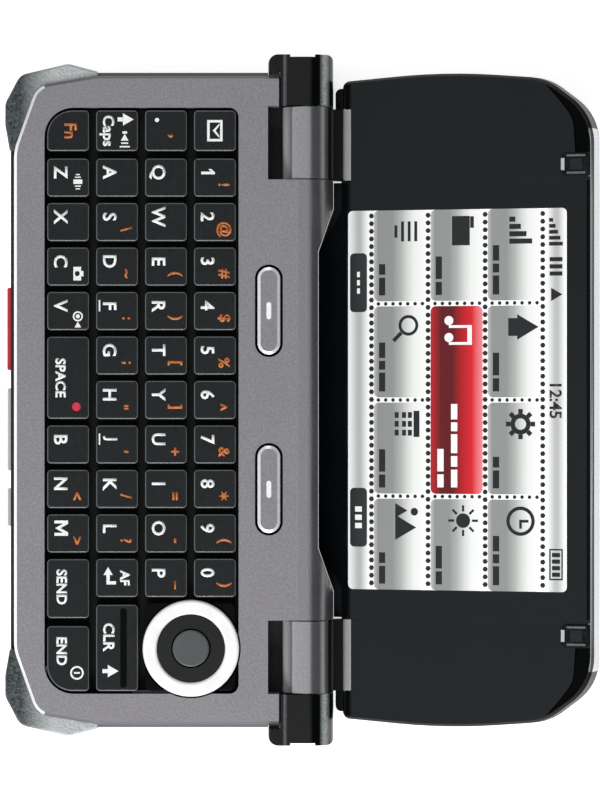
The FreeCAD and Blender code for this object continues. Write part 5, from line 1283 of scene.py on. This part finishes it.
across_count = int(SCREEN_HALF * 2 / DOT_PITCH)
for line in range(TILE_ROWS + 1):
    y = low_edge - TILE_GAP / 2 + line * tile_depth
    for number in range(across_count):
        add_disc(dots, -SCREEN_HALF + DOT_PITCH * (number + 0.7), y, LINE_DOT, DOT_SIDES)
down_count = int(tile_depth / DOT_PITCH)
for line in range(TILE_ROWS):
    for column in range(1, TILE_COLUMNS):
        inside_red_tile = (TILE_ROWS - 1 - line, column - 1) == divmod(RED_TILE, TILE_COLUMNS)
        for number in range(0 if inside_red_tile else down_count):
            add_disc(dots, -SCREEN_HALF - TILE_GAP / 2 + column * tile_width,
                     low_edge + line * tile_depth + DOT_PITCH * (number + 0.6), COLUMN_DOT, DOT_SIDES)

# The bar at the far edge: signal steps, three bars, a pointer, the time and a battery.

status_y = SCREEN_FAR - BAR_DEPTH / 2
add_word(signs, "12:45", 0, status_y, CLOCK_HEIGHT, CLOCK_STROKE)
for step in range(5):
    height = 0.7 + step * 0.42
    add_bar(signs, -SCREEN_HALF + 2.0 + step * 1.0, status_y - 1.2 + height / 2, 0.62, height)
for bar in range(3):
    add_bar(signs, -SCREEN_HALF + 8.6 + bar * 1.2, status_y, 0.7, 2.2)
add_disc(signs, -SCREEN_HALF + 14.5, status_y - 0.2, 1.3, sides=3)
for cell in range(4):
    add_bar(signs, SCREEN_HALF - 6.2 + cell * 1.1, status_y, 0.7, 1.4)
for side in (-1, 1):
    add_bar(signs, SCREEN_HALF - 4.6, status_y + side * 1.05, 5.2, 0.25)
    add_bar(signs, SCREEN_HALF - 4.6 + side * 2.5, status_y, 0.25, 2.0)
for shape, name, light, layer in ((tiles, "screen_tiles", silver_light, 2),
                                  (red_tile, "screen_red_tile", red_light, 2),
                                  (dots, "screen_dots", dark_light, 2),
                                  (signs, "screen_signs", dark_light, 3),
                                  (red_signs, "screen_red_signs", white_light, 3)):
    lay_on_lid(shape, name, light, LAYER * layer, LAYER / 2)

# Two dark capsules on the bar at the near edge, one for each soft key.

pills = bmesh.new()
pill_signs = bmesh.new()
pill_y = SCREEN_NEAR + BAR_DEPTH / 2
for side in (-1, 1):
    x = side * SCREEN_HALF * PILL_SHARE
    round_tile(pills, x - PILL_HALVES[0], x + PILL_HALVES[0], pill_y - PILL_HALVES[1],
               pill_y + PILL_HALVES[1], PILL_CORNER)
    for number in range(3):
        add_bar(pill_signs, x - 1.4 + number * 1.4, pill_y, 0.9, 0.5 if side < 0 else 1.2)
lay_on_lid(pills, "screen_pills", dark_light, LAYER * 3, LAYER / 2)
lay_on_lid(pill_signs, "screen_pill_signs", white_light, LAYER * 4, LAYER / 2)


# Outer face of the lid: a small dark window and twelve dial keys, moulded and printed like the
# keyboard's. Read with the window uppermost, a green-marked and a red-marked key lie above them.

OUTER_FACE = -13.3
OUTER_KEY_PROUD = 0.2
DIAL_SIGNS = "123456789*0#"
DIAL_HEIGHT = 3.0
OUTER_READING = Matrix(((0, -1, 0, 0), (-1, 0, 0, 0), (0, 0, -1, 0), (0, 0, 0, 1)))


def outer_place(x, y):
    """Where a sign drawn about its own middle sits on an outer key, in mm on the flat lid."""
    top = OUTER_FACE - OUTER_KEY_PROUD
    return LID_PLACE @ Matrix.Translation((x * MM, y * MM, top * MM)) @ OUTER_READING


def flat_box(name):
    """The limits of x and y of a lid part in mm, with the lid laid flat."""
    back = LID_PLACE.inverted()
    points = [back @ vertex.co for vertex in node[name].data.vertices]
    return [(min(p[axis] for p in points) / MM, max(p[axis] for p in points) / MM) for axis in range(2)]


finish(satin, "dial_keys", "outer_call_key", "outer_end_key")

dial_x, dial_y = flat_box("dial_keys")
call_x, call_y = flat_box("outer_call_key")
key_x, key_y = call_x[1] - call_x[0], call_y[1] - call_y[0]
for index, sign in enumerate(DIAL_SIGNS):
    line, column = divmod(index, 3)
    x = dial_x[0] + key_x / 2 + line * (dial_x[1] - dial_x[0] - key_x) / 3
    y = dial_y[1] - key_y / 2 - column * (dial_y[1] - dial_y[0] - key_y) / 2
    marks = bmesh.new()
    add_word(marks, sign, 0, 0, DIAL_HEIGHT)
    raise_print(marks)
    add_piece(marks, f"dial_sign_{index}", white_ink, "dial_keys", outer_place(x, y))

green_ink = printed_ink("green_ink", ("#2f9a4a", "#3cb25a"))
for name, ink in (("outer_call_key", green_ink), ("outer_end_key", red_ink)):
    (low_x, high_x), (low_y, high_y) = flat_box(name)
    marks = bmesh.new()
    add_hoop(marks, 0, 0, 1.9, 0.5)
    add_bar(marks, 0, 0, 0.5, 2.0, 90 if ink == red_ink else 0)
    raise_print(marks)
    add_piece(marks, name + "_sign", ink, name, outer_place((low_x + high_x) / 2, (low_y + high_y) / 2))
